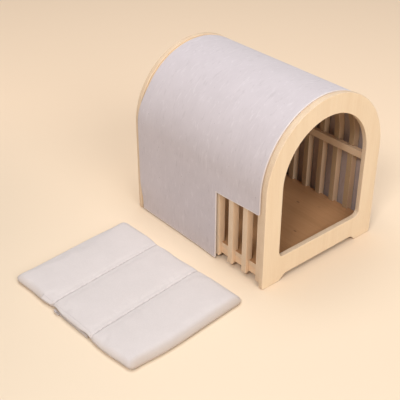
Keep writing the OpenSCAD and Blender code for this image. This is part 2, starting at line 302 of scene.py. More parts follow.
def along_grain(grain, across, along):
    """Waves per metre on each axis, fewer along the grain."""
    return tuple(along if name == grain else across for name in "XYZ")


def birch_face(name, grain, light=BIRCH_LIGHT, dark=BIRCH_DARK, knots=None):
    """A veneer in two tones. Its knots, if it has any, come from a function that makes their mask."""
    material, place, shade = new_material(name)
    waves = place.noise(along_grain(grain, *BROAD_WAVES), 3.0, 0.8).step(0.34, 0.68)
    lines = place.noise(along_grain(grain, *GRAIN_LINES), 3.0).step(0.38, 0.68)
    pores = place.noise(along_grain(grain, *PORE_MARKS), 1.0).step(0.66, 0.74)
    veneer = (waves * WAVE_SHARE + lines * LINE_SHARE).mix(light, dark)
    veneer = (pores * PORE_SHARE).mix(veneer, BIRCH_PORE)
    shade({
        "Base Color": knots(place).mix(veneer, KNOT_BROWN) if knots else veneer,
        "Roughness": 0.5 + lines * 0.12,
        "Normal": (lines * 0.4 - pores).bump(VENEER_RELIEF),
    })
    return material


# %% Birch edge
EDGE_LIGHT = tone(0.85, 0.68, 0.505)
EDGE_DARK = tone(0.70, 0.50, 0.325)
EDGE_GLUE = tone(0.50, 0.31, 0.17)
EDGE_FIBRES = (320, 2600)
EDGE_PITS = 1900
EDGE_CLOUDS = 35
EDGE_RELIEF = 0.0001
CROSS_SHARE = 0.7
GLUE_SHARE = 0.4


def birch_edge(name, axis, first, pitch, thickness, layers, light=EDGE_LIGHT, dark=EDGE_DARK):
    """Plywood layers along an axis: the first board starts at a place, and boards repeat by a pitch."""
    material, place, shade = new_material(name)
    inside = place.math("FLOORED_MODULO", place.axis(axis) - first, pitch)
    fold = place.math("PINGPONG", inside * (layers / thickness), 1.0)
    cross = fold.step(0.36, 0.64)
    glue = 1 - place.math("ABSOLUTE", fold - 0.5).step(0.02, 0.10)
    fibre = place.noise(along_grain(axis, *EDGE_FIBRES)).step(0.35, 0.7)
    pits = place.noise(EDGE_PITS).step(0.5, 0.7)
    cloud = place.noise(EDGE_CLOUDS).step(0.3, 0.7)
    pale = (fibre * 0.35 + cloud * 0.25).mix(light, dark)
    deep = (pits * 0.4 + cloud * 0.2).mix(dark, EDGE_GLUE)
    layered = (cross * CROSS_SHARE).mix(pale, deep)
    shade({
        "Base Color": (glue * GLUE_SHARE).mix(layered, EDGE_GLUE),
        "Roughness": 0.62,
        "Normal": (0.0 - cross - pits * cross).bump(EDGE_RELIEF),
    })
    return material


rear_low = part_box("rear_panel")[0]
rib_low, rib_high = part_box("rib_01")
floor_low, floor_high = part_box("floor_panel")
PANEL_T = panel_high.y - panel_low.y
RIB_T = rib_high.y - rib_low.y
RIB_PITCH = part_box("rib_02")[0].y - rib_low.y
FLOOR_T = floor_high.z - floor_low.z
PANEL_LAYERS = 9
RIB_LAYERS = 11
RIB_LIGHT = tone(0.83, 0.605, 0.405)
RIB_DARK = tone(0.74, 0.505, 0.315)
# Painted shade: darker, browner layers for the ribs' inward faces, because the inside of the house is dim.
INNER_SHADE_LIGHT = tone(0.50, 0.345, 0.205)
INNER_SHADE_DARK = tone(0.41, 0.27, 0.15)
RIB_ROW = ("Y", rib_low.y, RIB_PITCH, RIB_T, RIB_LAYERS)
panel_wood = birch_face("panel_birch", "Z")
panel_rim = birch_edge("panel_layers", "Y", panel_low.y, rear_low.y - panel_low.y, PANEL_T, PANEL_LAYERS)
rib_wood = birch_face("rib_birch", "Z", RIB_LIGHT, RIB_DARK)
rib_rim = birch_edge("rib_layers", *RIB_ROW)
shaded_inner_rim = birch_edge("inner_layers_painted_shade", *RIB_ROW, INNER_SHADE_LIGHT, INNER_SHADE_DARK)
rail_wood = birch_face("rail_birch", "Y", RIB_LIGHT, RIB_DARK)
floor_rim = birch_edge("floor_layers", "Z", floor_low.z, FLOOR_T, FLOOR_T, PANEL_LAYERS)
print("panel layers of", round(PANEL_T / PANEL_LAYERS * 1000, 2), "mm")

# %% [markdown]
# ## Modelling helpers
#
# Pieces are shaped the way a person would shape them: add a primitive, select a few points, edges or
# faces by their place, extrude or bevel them, and finish with modifiers. These short helpers keep that
# readable.


# %% Helpers for selecting and shaping
def make_active(piece):
    fresh_start()
    piece.select_set(True)
    bpy.context.view_layer.objects.active = piece


def settled(name):
    """Name the object just added and move its place into its mesh."""
    piece = bpy.context.object
    piece.name = name
    piece.data.name = name
    bpy.ops.object.transform_apply(location=True, rotation=True, scale=True)
    return piece


def edit(piece):
    make_active(piece)
    bpy.ops.object.mode_set(mode="EDIT")


def leave_edit():
    bpy.ops.object.mode_set(mode="OBJECT")


def pick(piece, kind, test):
    """In edit mode, select the points, edges or faces whose middle passes a test."""
    bpy.ops.mesh.select_mode(type=kind)
    bpy.ops.mesh.select_all(action="DESELECT")
    mesh = bmesh.from_edit_mesh(piece.data)
    for part in {"VERT": mesh.verts, "EDGE": mesh.edges, "FACE": mesh.faces}[kind]:
        corners = [part.co] if kind == "VERT" else [v.co for v in part.verts]
        part.select_set(bool(test(sum(corners, Vector()) / len(corners), corners)))
    mesh.select_flush_mode()
    bmesh.update_edit_mesh(piece.data)


def pick_all():
    bpy.ops.mesh.select_all(action="SELECT")


def round_off(radius, segments=6, kind="EDGES"):
    """Bevel the selected edges or points."""
    bpy.ops.mesh.bevel(affect=kind, offset=radius, segments=segments)


def scale_about(centre, x=1, y=1, z=1):
    """Scale what is selected about a place."""
    bpy.ops.transform.resize(value=(x, y, z), center_override=centre)


def push_out(x, y, z):
    """Extrude what is selected by a distance."""
    bpy.ops.mesh.extrude_region_move(TRANSFORM_OT_translate={"value": (x, y, z)})


def close_up():
    """Merge doubles and turn all faces outwards."""
    pick_all()
    bpy.ops.mesh.remove_doubles(threshold=1e-6)
    bpy.ops.mesh.normals_make_consistent(inside=False)


# %% Helpers for finishing
SHARP_ANGLE = math.radians(40)
FACE_TILT = 0.75


def add_modifier(piece, kind, **settings):
    """Add a modifier with its settings and apply it."""
    modifier = piece.modifiers.new(kind.lower(), kind)
    for name, value in settings.items():
        setattr(modifier, name, value)
    make_active(piece)
    bpy.ops.object.modifier_apply(modifier=modifier.name)


def cut_away(piece, cutter):
    """Subtract a cutter from a piece and remove the cutter."""
    add_modifier(piece, "BOOLEAN", operation="DIFFERENCE", solver="EXACT", object=cutter)
    bpy.data.objects.remove(cutter)


def ease_edges(piece, radius, segments=3):
    """Round the sharp edges, as sandpaper does, and keep the flats flat in the light."""
    add_modifier(piece, "BEVEL", width=radius, segments=segments, limit_method="ANGLE",
                 angle_limit=SHARP_ANGLE)
    make_active(piece)
    bpy.ops.object.shade_smooth()
    add_modifier(piece, "WEIGHTED_NORMAL", weight=90)


def block(name, low, high):
    """A box between two corners."""
    fresh_start()
    low, high = Vector(low), Vector(high)
    bpy.ops.mesh.primitive_cube_add(size=1, location=(low + high) / 2, scale=high - low)
    return settled(name)


def rod(name, radius, low, high, sides=32):
    """An upright round bar from one height to another, in the middle of the axes."""
    fresh_start()
    bpy.ops.mesh.primitive_cylinder_add(vertices=sides, radius=radius, depth=high - low,
                                        location=(0, 0, (low + high) / 2))
    return settled(name)


def copied(piece, name, shift):
    """A new piece with a mesh of its own, moved inside the mesh."""
    copy = bpy.data.objects.new(name, piece.data.copy())
    copy.data.transform(shift)
    bpy.context.scene.collection.objects.link(copy)
    return copy


def joined(pieces, name):
    """Several pieces as one."""
    fresh_start()
    for piece in pieces:
        piece.select_set(True)
    bpy.context.view_layer.objects.active = pieces[0]
    bpy.ops.object.join()
    pieces[0].name = name
    pieces[0].data.name = name
    return pieces[0]


def finish_all(piece, material):
    """One finish on the whole piece."""
    piece.data.materials.clear()
    piece.data.materials.append(material)
    return piece


def paint_boards(piece, face, rim, axis):
    """Veneer on the faces that look along an axis, layers on the rest."""
    finish_all(piece, face).data.materials.append(rim)
    for polygon in piece.data.polygons:
        polygon.material_index = 0 if abs(polygon.normal["XYZ".index(axis)]) > FACE_TILT else 1


def looks_in(polygon, spring):
    """True for a face that looks towards the middle of the arch."""
    centre = polygon.center
    outwards = Vector((centre.x - HOUSE_X, 0, max(0.0, centre.z - spring)))
    return polygon.normal.dot(outwards) < 0


def stand_for(piece, body, slot, *replaced):
    """Let a piece ride on its body in place of the frame's own nodes."""
    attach(piece, body)
    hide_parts(*replaced)
    return piece


def soft_step(value, low, high):
    """A smooth rise from 0 at low to 1 at high."""
    share = min(1.0, max(0.0, (value - low) / (high - low)))
    return share * share * (3 - 2 * share)


print("helpers ready")

# %% [markdown]
# ## End panels
#
# Each end panel is an arch cut from one board, with a wide gap at the bottom that leaves two feet. The
# front one has the doorway. A half circle is drawn out into an arch, filled and given the board's
# thickness. The doorway is the same arch, smaller, and is subtracted. The bottom gap is a box with its
# top face drawn in.

# %% Arch-shaped boards
ARC = 144
HALF_W = (panel_high.x - panel_low.x) / 2
SPRING = panel_high.z - HALF_W
SPARE = 0.01
TINY = 1e-5
CLOSE = 1e-4


def arch_board(name, half, spring, base, corner, y, thickness):
    """A round-topped board with rounded bottom corners."""
    fresh_start()
    bpy.ops.mesh.primitive_circle_add(vertices=ARC, radius=half, fill_type="NOTHING",
                                      location=(HOUSE_X, y, spring), rotation=(math.pi / 2, 0, 0))
    board = settled(name)
    edit(board)
    pick(board, "VERT", lambda middle, corners: middle.z < spring - TINY)
    bpy.ops.mesh.delete(type="VERT")
    pick(board, "VERT", lambda middle, corners: middle.z < spring + TINY)
    push_out(0, 0, base - spring)
    pick_all()
    bpy.ops.mesh.edge_face_add()
    pick(board, "VERT", lambda middle, corners: middle.z < base + TINY)
    round_off(corner, kind="VERTICES")
    pick(board, "FACE", lambda middle, corners: True)
    push_out(0, thickness, 0)
    close_up()
    leave_edit()
    return board


# %% End panels
PANEL_CORNER = 0.005
DOOR_W = 0.263
DOOR_TOP = 0.370
SILL = 0.066
DOOR_CORNER = 0.015
FOOT_GAP_W = 0.254
FOOT_GAP_H = 0.014
FOOT_GAP_RUN = 0.016
FOOT_SOFT = 0.006
PANEL_EASE = 0.0014


def foot_gap(y, thickness):
    """The gap between a panel's feet, with sloped and softened ends."""
    low_half = FOOT_GAP_W / 2 + FOOT_GAP_RUN * SPARE / FOOT_GAP_H
    high_half = FOOT_GAP_W / 2 - FOOT_GAP_RUN
    top = FOOT_GAP_H - TINY
    gap = block("foot_gap", (HOUSE_X - low_half, y - SPARE, -SPARE),
                (HOUSE_X + low_half, y + thickness + SPARE, FOOT_GAP_H))
    edit(gap)
    pick(gap, "FACE", lambda middle, corners: middle.z > top)
    scale_about((HOUSE_X, y, FOOT_GAP_H), x=high_half / low_half)
    pick(gap, "EDGE", lambda middle, corners: middle.z > top and abs(middle.x - HOUSE_X) > high_half / 2)
    round_off(FOOT_SOFT)
    leave_edit()
    return gap


def soften_feet(panel, y):
    """Round the inner corners of the feet, where they meet the ground."""
    edit(panel)
    pick(panel, "EDGE", lambda middle, corners: middle.z < TINY
         and abs(abs(middle.x - HOUSE_X) - FOOT_GAP_W / 2) < CLOSE
         and abs(middle.y - y - PANEL_T / 2) < CLOSE)
    round_off(FOOT_SOFT / 2, 4)
    leave_edit()


def end_panel(name, y, doorway):
    panel = arch_board(name, HALF_W, SPRING, 0.0, PANEL_CORNER, y, PANEL_T)
    cut_away(panel, foot_gap(y, PANEL_T))
    if doorway:
        hole = arch_board("doorway", DOOR_W / 2, DOOR_TOP - DOOR_W / 2, SILL, DOOR_CORNER,
                          y - SPARE, PANEL_T + 2 * SPARE)
        cut_away(panel, hole)
    soften_feet(panel, y)
    ease_edges(panel, PANEL_EASE)
    paint_boards(panel, panel_wood, panel_rim, "Y")
    return panel


front = stand_for(end_panel("front_end_panel", panel_low.y, True), "house", "birch_ply", "front_panel")
rear = stand_for(end_panel("rear_end_panel", rear_low.y, False), "house", "birch_ply", "rear_panel")
print("front panel faces:", len(front.data.polygons), "rear panel faces:", len(rear.data.polygons))

# %% [markdown]
# ## Ribs
#
# Ten equal ribs stand in a row. A rib starts as its own cross-section at one foot, is drawn up the wall,
# spun over the top and drawn down to the other foot. A box is taken out between the feet, where the floor
# lies, and another where the side rails pass. The faces that look inwards are painted browner and darker,
# as painted shade for the dim inside of the house. One rib is modelled and copied, and each copy has its own
# mesh.

# %% Ribs
RIB_OUT = (rib_high.x - rib_low.x) / 2
RIB_D = 0.018
RIB_EASE = 0.0009
FIT_GAP = 0.0001
FLOOR_HALF = floor_high.x - HOUSE_X
rail_low, rail_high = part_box("right_side_rail")
RIB_NAMES = sorted(name for name in frame["nodes"] if name.startswith("rib_"))


def slot_cutter(half, low_z, high_z):
    """A box right across the house that takes the same bite out of both legs of a rib."""
    return block("slot", (HOUSE_X - half, rib_low.y - SPARE, low_z),
                 (HOUSE_X + half, rib_high.y + SPARE, high_z))


def first_rib(name):
    rise = SPRING - rib_low.z
    foot = (HOUSE_X + RIB_OUT - RIB_D / 2, rib_low.y + RIB_T / 2, rib_low.z)
    fresh_start()
    bpy.ops.mesh.primitive_plane_add(size=1, location=foot)
    bpy.context.object.scale = (RIB_D, RIB_T, 1)
    rib = settled(name)
    edit(rib)
    pick_all()
    push_out(0, 0, rise)
    bpy.ops.mesh.spin(steps=ARC // 2, angle=math.pi, center=(HOUSE_X, rib_low.y, SPRING), axis=(0, 1, 0))
    push_out(0, 0, -rise)
    close_up()
    leave_edit()
    cut_away(rib, slot_cutter(FLOOR_HALF + FIT_GAP, rib_low.z - SPARE, floor_high.z))
    cut_away(rib, slot_cutter(rail_high.x - HOUSE_X + FIT_GAP, rail_low.z - FIT_GAP,
                              rail_high.z + FIT_GAP))
    ease_edges(rib, RIB_EASE, 2)
    paint_boards(rib, rib_wood, rib_rim, "Y")
    # The inward faces get the layers with painted shade.
    rib.data.materials.append(shaded_inner_rim)
    for polygon in rib.data.polygons:
        if polygon.material_index == 1 and looks_in(polygon, SPRING):
            polygon.material_index = 2
    return rib


master_rib = first_rib("master_rib")
for name in RIB_NAMES:
    shift = Matrix.Translation((0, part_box(name)[0].y - rib_low.y, 0))
    stand_for(copied(master_rib, "arched_" + name, shift), "house", "rib_ply", name)
print("ribs:", len(RIB_NAMES), "faces each:", len(master_rib.data.polygons))
bpy.data.objects.remove(master_rib)

# %% [markdown]
# ## Floor and rails
#
# The floor is a straight board with a smooth brown veneer and a few small knots, and the rails are square
# strips. Each starts as a box the size of its frame node and gets eased edges. The floor's brown is partly
# painted shade: it is painted darker than the wood would be, for the dim inside of the house. A knot is an
# oval in the finish where the colour turns dark, drawn out along the grain.

# %% Floor
FLOOR_EASE = 0.0006
# Painted shade: the floor's tones are darker than its birch would be, for the dim inside of the house.
FLOOR_SHADED_LIGHT = tone(0.52, 0.275, 0.13)
FLOOR_SHADED_DARK = tone(0.45, 0.235, 0.105)
KNOTS = ((0.0908, 0.156, 0.8), (-0.006, 0.072, 0.8), (0.1136, 0.1068, 0.25), (-0.09, 0.31, 0.6))
KNOT_W = 0.0032
KNOT_L = 0.006


def knot_mask(place):
    """Small dark ovals where twigs were, each with its own strength."""
    mask = 0.0
    for x, y, strength in KNOTS:
        across = (place.axis("X") - (HOUSE_X + x)) / KNOT_W
        along = (place.axis("Y") - (FRONT_Y + y)) / KNOT_L
        mask = mask + (1 - (across * across + along * along).step(0.05, 1.0)) * strength
    return mask


shaded_floor_wood = birch_face("floor_birch_painted_shade", "Y", FLOOR_SHADED_LIGHT, FLOOR_SHADED_DARK, knot_mask)
floor_board = block("floor_board", floor_low, floor_high)
ease_edges(floor_board, FLOOR_EASE)
paint_boards(floor_board, shaded_floor_wood, floor_rim, "Z")
stand_for(floor_board, "house", "birch_ply", "floor_panel")
print("floor", [round(v, 3) for v in floor_high - floor_low], "with", len(KNOTS), "knots")

# %% [markdown]
# The floor lies on the two bottom rails, held from below by eight screws that sit midway between pairs of
# ribs. Their heads are sunk in round seats in the undersides of the rails. A round bar, subtracted, makes
# such a seat.

# %% Rails
RAIL_EASE = 0.001
SEAT_R = 0.0041
SEAT_H = 0.0035
SCREWED_RIBS = (2, 4, 6, 8)
SCREW_Y = [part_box("rib_%02d" % first)[0].y + (RIB_PITCH + RIB_T) / 2 for first in SCREWED_RIBS]
BOTTOM_RAILS = ("left_bottom_rail", "right_bottom_rail")
SIDE_RAILS = ("left_side_rail", "right_side_rail")


def rail_x(node):
    low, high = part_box(node)
    return (low.x + high.x) / 2


def rail(node):
    """A square strip with eased edges, and with screw seats if it carries the floor."""
    low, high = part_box(node)
    strip = block("eased_" + node, low, high)
    if node in BOTTOM_RAILS:
        for y in SCREW_Y:
            seat = rod("seat", SEAT_R, low.z - SPARE, low.z + SEAT_H)
            seat.data.transform(Matrix.Translation((rail_x(node), y, 0)))
            cut_away(strip, seat)
    ease_edges(strip, RAIL_EASE)
    return finish_all(strip, rail_wood)


for node in BOTTOM_RAILS + SIDE_RAILS:
    stand_for(rail(node), "house", "rib_ply", node)
print("rails:", len(BOTTOM_RAILS + SIDE_RAILS))

# %% [markdown]
# ## Screws
#
# A floor screw points up: a round head with a cross slot, a shank and a short tip. The head is a bar
# whose upper face is inset and extruded into the shank, and the tip is a last extrusion drawn in. Two
# crossed boxes, subtracted, make the slot. One screw is modelled and copied to the eight seats.

# %% Screws
HEAD_R = 0.004
HEAD_H = 0.003
HEAD_SOFT = 0.0007
SHANK_R = 0.002
TIP = 0.003
CROSS_L = 0.0022
CROSS_W = 0.0005
CROSS_H = 0.0014
TIP_SHARE = 0.2
SCREW_CREASE = math.radians(35)
BRUSH_LINES = (900, 900, 60)
ZINC_DARK = tone(0.55, 0.55, 0.53)
ZINC_PALE = tone(0.68, 0.68, 0.66)
screw_low, screw_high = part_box("floor_screws")
SCREW_H = screw_high.z - screw_low.z


def metal_finish(name, dark, pale, bare):
    """Brushed metal, bare or under a thin lacquer."""
    material, place, shade = new_material(name)
    brushed = place.noise(BRUSH_LINES)
    shade({
        "Base Color": brushed.step(0.3, 0.7).mix(dark, pale),
        "Metallic": bare,
        "Roughness": 0.3 + brushed * 0.2,
    })
    return material


def cross_screw(name):
    """A screw that stands on its head in the middle of the axes."""
    screw = rod(name, HEAD_R, 0.0, HEAD_H)
    edit(screw)
    pick(screw, "FACE", lambda middle, corners: middle.z > HEAD_H - TINY)
    bpy.ops.mesh.inset(thickness=HEAD_R - SHANK_R)
    push_out(0, 0, SCREW_H - HEAD_H - TIP)
    push_out(0, 0, TIP)
    scale_about((0, 0, SCREW_H), TIP_SHARE, TIP_SHARE)
    pick(screw, "EDGE", lambda middle, corners: all(c.z < TINY for c in corners))
    round_off(HEAD_SOFT, 3)
    leave_edit()
    for x, y in ((CROSS_L, CROSS_W), (CROSS_W, CROSS_L)):
        cut_away(screw, block("cross", (-x, -y, -SPARE), (x, y, CROSS_H)))
    make_active(screw)
    bpy.ops.object.shade_smooth_by_angle(angle=SCREW_CREASE)
    return finish_all(screw, zinc)


zinc = metal_finish("screw_zinc", ZINC_DARK, ZINC_PALE, 1.0)
master_screw = cross_screw("master_screw")
screws = [copied(master_screw, "screw", Matrix.Translation((rail_x(node), y, screw_low.z)))
          for node in BOTTOM_RAILS for y in SCREW_Y]
bpy.data.objects.remove(master_screw)
stand_for(joined(screws, "cross_head_screws"), "house", "steel", "floor_screws")
print("screws:", len(screws), "each", round(SCREW_H * 1000, 1), "mm long")

# %% [markdown]
# ## Pegs and hook pads
#
# The wooden pegs hide inside the joints and the hook pads lie under the felt. Their frame nodes already
# have the right shape, so they keep it and get finishes: bare wood, and a fine field of plastic hooks.

# %% Pegs and hook pads
HOOK_DARK = tone(0.66, 0.62, 0.58)
HOOK_PALE = tone(0.80, 0.77, 0.73)
HOOKS_PER_M = 2600
HOOK_RELIEF = 0.0003


def hooks():
    material, place, shade = new_material("hook_tape")
    dots = place.noise(HOOKS_PER_M, 1.0).step(0.45, 0.6)
    shade({
        "Base Color": dots.mix(HOOK_DARK, HOOK_PALE),
        "Roughness": 0.7,
        "Normal": dots.bump(HOOK_RELIEF),
    })
    return material


peg_birch = birch_face("peg_birch", "Y", RIB_LIGHT, RIB_DARK)
hook_field = hooks()
for name, node in frame["nodes"].items():
    if name.endswith("_pegs"):
        finish_all(node, peg_birch)
    if name.endswith("_hook_pads"):
        finish_all(node, hook_field)
print("finished pegs and hook pads")

# %% [markdown]
# ## Felt
#
# The cover is one sheet of pressed wool felt, 2.5 mm thick, bent over the ribs, with an L-shaped cut-away
# at one front corner that shows the ribs. It is made as a flat sheet would be: a strip at one hem, drawn
# up the wall, spun over the top and drawn down again, then thickened inwards. The pattern of hairs
# follows the sheet, so it reads a UV map in metres of cloth. Where the felt is cut, its edge is pale and
# fluffy, and a narrow band beside it is paler too. The inner side is painted browner and darker, as
# painted shade for the dim inside of the house.

# %% Felt finish
FELT_TONES = (tone(0.620, 0.556, 0.575), tone(0.585, 0.523, 0.541), tone(0.668, 0.607, 0.624),
              tone(0.540, 0.480, 0.496))
# Painted shade: the inner side is browner and darker, for the dim inside of the house.
LINING_SHADE_TONES = (tone(0.44, 0.35, 0.325), tone(0.40, 0.31, 0.285), tone(0.48, 0.39, 0.365),
                tone(0.36, 0.28, 0.25))
FELT_SPECK = tone(0.30, 0.26, 0.27)
CUT_LIGHT = tone(0.87, 0.775, 0.72)
CUT_DARK = tone(0.74, 0.65, 0.62)
WOOL_CLOUDS = (18, 22, 1)
WOOL_HAIRS = (42, 150, 1)
WOOL_FIBRES = (700, 1500, 1)
WOOL_SPECKS = (170, 240, 1)
HAIR_SHARE = 0.75
SPECK_SHARE = 0.7
WOOL_RELIEF = 0.0003
FLUFF_PER_M = 900
FLUFF_RELIEF = 0.0004
PALE_BAND_FROM = 0.0034
PALE_BAND_TO = 0.0012
PALE_BAND_SHARE = 0.6


# A narrow band along the cut edges and hems is painted paler.
def pale_edge_band(place):
    """A band along the cut-away, the hems and the front edge, found on the cloth map."""
    girth, along = place.axis("X"), place.axis("Y")
    above = place.math("MAXIMUM", girth + NOTCH_GIRTH)
    behind = place.math("MAXIMUM", along - NOTCH_Y)
    notch = (above * above + behind * behind).step(PALE_BAND_FROM ** 2, PALE_BAND_TO ** 2)
    hem = (HEM_GIRTH - place.math("ABSOLUTE", girth)).step(PALE_BAND_FROM, PALE_BAND_TO)
    return notch + hem + (along - felt_low.y).step(PALE_BAND_FROM, PALE_BAND_TO)


def felt_finish(name, tones):
    """Pressed wool in a main tone, a cloudy one, and those of its light and dark hairs."""
    main, cloudy, hair_light, hair_dark = tones
    material, place, shade = new_material(name, "UV")
    clouds = place.noise(WOOL_CLOUDS, 3.0, 0.6).step(0.3, 0.7)
    hair = place.noise(WOOL_HAIRS, 3.0, 0.9)
    fibre = place.noise(WOOL_FIBRES, 3.0, 2.0)
    specks = place.noise(WOOL_SPECKS, 0.0).step(0.85, 0.88)
    wool = (clouds * 0.6 + fibre.step(0.3, 0.7) * 0.3).mix(main, cloudy)
    pale = (hair.step(0.56, 0.72) * HAIR_SHARE).mix(wool, hair_light)
    streaked = ((1 - hair.step(0.28, 0.42)) * HAIR_SHARE).mix(pale, hair_dark)
    speckled = (specks * SPECK_SHARE).mix(streaked, FELT_SPECK)
    shade({
        "Base Color": (pale_edge_band(place) * PALE_BAND_SHARE).mix(speckled, CUT_LIGHT),
        "Roughness": 0.95,
        "Sheen Weight": 0.2,
        "Sheen Roughness": 0.5,
        "Specular IOR Level": 0.2,
        "Normal": (fibre + hair).bump(WOOL_RELIEF),
    })
    return material


def cut_finish():
    material, place, shade = new_material("felt_cut_edge")
    fluff = place.noise(FLUFF_PER_M, 3.0)
    shade({
        "Base Color": fluff.step(0.3, 0.7).mix(CUT_LIGHT, CUT_DARK),
        "Roughness": 0.95,
        "Normal": fluff.bump(FLUFF_RELIEF),
    })
    return material


print("felt finishes ready")

# %% Felt sheet
felt_low, felt_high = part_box("felt_cover")
FELT_T = 0.0025
FELT_OUT = (felt_high.x - felt_low.x) / 2
FELT_SPRING = felt_high.z - FELT_OUT
FELT_L = felt_high.y - felt_low.y
WALL_ROWS = 24
CLOTH_COLUMNS = 46


def felt_strip():
    """The sheet's outer skin, from the right hem over the top to the left hem."""
    row = (FELT_SPRING - felt_low.z) / WALL_ROWS
    hem = (HOUSE_X + FELT_OUT, (felt_low.y + felt_high.y) / 2, felt_low.z + row / 2)
    fresh_start()
    bpy.ops.mesh.primitive_plane_add(size=1, rotation=(0, math.pi / 2, 0), location=hem)
    bpy.context.object.scale = (row, FELT_L, 1)
    sheet = settled("felt_sheet")
    edit(sheet)
    pick(sheet, "EDGE", lambda middle, corners: abs(corners[0].y - corners[-1].y) > FELT_L / 2)
    bpy.ops.mesh.subdivide(number_cuts=CLOTH_COLUMNS - 1)
    pick(sheet, "EDGE", lambda middle, corners: all(c.z > felt_low.z + row / 2 for c in corners))
    for step in range(WALL_ROWS - 1):
        push_out(0, 0, row)
    bpy.ops.mesh.spin(steps=ARC // 2, angle=math.pi, center=(HOUSE_X, 0, FELT_SPRING), axis=(0, 1, 0))
    for step in range(WALL_ROWS):
        push_out(0, 0, -row)
    close_up()
    leave_edit()
    return sheet


felt = felt_strip()
add_modifier(felt, "SOLIDIFY", thickness=FELT_T, offset=-1.0, use_even_offset=True)
print("felt skin faces:", len(felt.data.polygons))

# %% [markdown]
# The cut-away is taken out with a box whose inner edge is rounded, and the sheet's other corners are
# rounded after it, the front one above the cut-away most. The UV map is made while the sheet still lies
# true. Felt that hangs free is never quite straight. Both hems swing out a little. The left wall hangs
# lower, sags forwards behind the cut-away and is lifted ahead of it, and at its rear it has crept back and
# stands a few millimetres off the frame.

# %% Cut and hang the felt
NOTCH_L = 0.141
NOTCH_TOP = 0.183
NOTCH_R = 0.005
FRONT_R = 0.010
FELT_EASE = 0.0006
HEM_WAVE = 0.0009
HEM_WAVES_PER_M = 9
LOOSE_RUN = 0.09
LOOSE_FOOT = (0.02, 0.09)
LOOSE_HEAD = (0.26, 0.34)
LOOSE_OUT = 0.004
LOOSE_BACK = 0.0048
HEM_DROP = 0.0028
NOTCH_Y = felt_low.y + NOTCH_L
HEM_GIRTH = FELT_OUT * math.pi / 2 + FELT_SPRING - felt_low.z
NOTCH_GIRTH = HEM_GIRTH - NOTCH_TOP + felt_low.z
SAG_RUN = 0.07
SAG_OUT = 0.0022
SAG_AHEAD = 0.0048
FRONT_LIFT = 0.0035


def notch_cutter():
    """The cut-away's box, with its inner corner rounded."""
    low = (HOUSE_X - HALF_W - SPARE, felt_low.y - SPARE, felt_low.z - SPARE)
    high = (HOUSE_X - HALF_W / 2, NOTCH_Y, NOTCH_TOP)
    cutter = block("notch", low, high)
    edit(cutter)
    pick(cutter, "EDGE", lambda middle, corners: middle.y > high[1] - TINY and middle.z > high[2] - TINY)
    round_off(NOTCH_R)
    leave_edit()
    return cutter


def round_corners(sheet):
    """Round the corners of the cut-away and of the hems, seen from the side."""
    edit(sheet)
    for y, z, radius in ((felt_low.y, NOTCH_TOP, FRONT_R), (NOTCH_Y, felt_low.z, NOTCH_R),
                         (felt_low.y, felt_low.z, NOTCH_R), (felt_high.y, felt_low.z, NOTCH_R)):
        pick(sheet, "EDGE", lambda middle, corners: abs(corners[0].x - corners[-1].x) > FELT_T / 2
             and abs(middle.y - y) < CLOSE and abs(middle.z - z) < CLOSE)
        round_off(radius)
    leave_edit()


def girth_map(sheet):
    """A UV map in metres: along the girth from the top, and along the house."""
    while sheet.data.uv_layers:
        sheet.data.uv_layers.remove(sheet.data.uv_layers[0])
    layer = sheet.data.uv_layers.new(name="cloth")
    for loop in sheet.data.loops:
        place = sheet.data.vertices[loop.vertex_index].co
        x, z = place.x - HOUSE_X, place.z - FELT_SPRING
        if z > 0:
            girth = FELT_OUT * math.atan2(x, z)
        else:
            girth = math.copysign(FELT_OUT * math.pi / 2 - z, x)
        layer.data[loop.index].uv = (girth, place.y)


def hang_loose(sheet):
    """Swing both hems out, and let the left wall drop, sag at the cut-away and creep back at its rear."""
    for vertex in sheet.data.vertices:
        x, y, z = vertex.co
        side = 1 if x > HOUSE_X else -1
        drop = max(0.0, (FELT_SPRING - z) / (FELT_SPRING - felt_low.z))
        swing = 0.5 + 0.5 * noise.noise((y * HEM_WAVES_PER_M, side * 3.0, 0.4))
        vertex.co.x += side * HEM_WAVE * swing * drop * drop
        if side < 0:
            loose = soft_step(y, felt_high.y - LOOSE_RUN, felt_high.y)
            loose *= soft_step(z, *LOOSE_FOOT) * (1 - soft_step(z, *LOOSE_HEAD))
            below = soft_step(z, FELT_SPRING, NOTCH_TOP)
            ahead = below * soft_step(y, NOTCH_Y, felt_low.y)
            sag = below * soft_step(y, NOTCH_Y + SAG_RUN, NOTCH_Y) - ahead
            vertex.co.x -= LOOSE_OUT * loose + SAG_OUT * sag
            vertex.co.y += LOOSE_BACK * loose - SAG_AHEAD * sag
            vertex.co.z += FRONT_LIFT * ahead - HEM_DROP * drop


cut_away(felt, notch_cutter())
round_corners(felt)
girth_map(felt)
hang_loose(felt)
ease_edges(felt, FELT_EASE, 2)
print("felt faces after cutting:", len(felt.data.polygons))

# %% Finish the felt
CUT_TILT = 0.5


def mark_sides(sheet):
    """The second finish on the faces that the knife made, the third, with painted shade, on the inner side.
    """
    for polygon in sheet.data.polygons:
        normal = polygon.normal
        hem = normal.z < -CUT_TILT and polygon.center.z < FELT_SPRING
        cut = hem or abs(normal.y) > CUT_TILT
        polygon.material_index = 1 if cut else 2 * looks_in(polygon, FELT_SPRING)


finish_all(felt, felt_finish("pressed_felt", FELT_TONES))
felt.data.materials.append(cut_finish())
felt.data.materials.append(felt_finish("felt_inside_painted_shade", LINING_SHADE_TONES))
mark_sides(felt)
stand_for(felt, "cover", "felt", "felt_cover")
FELT_GIRTH = 2 * (FELT_SPRING - felt_low.z) + math.pi * (FELT_OUT - FELT_T / 2)
NOTCH_AREA = NOTCH_L * (NOTCH_TOP - felt_low.z)
FELT_L * FELT_GIRTH - NOTCH_AREA
print("felt cut:", round(FELT_L, 3), "by", round(FELT_GIRTH, 3), "m")
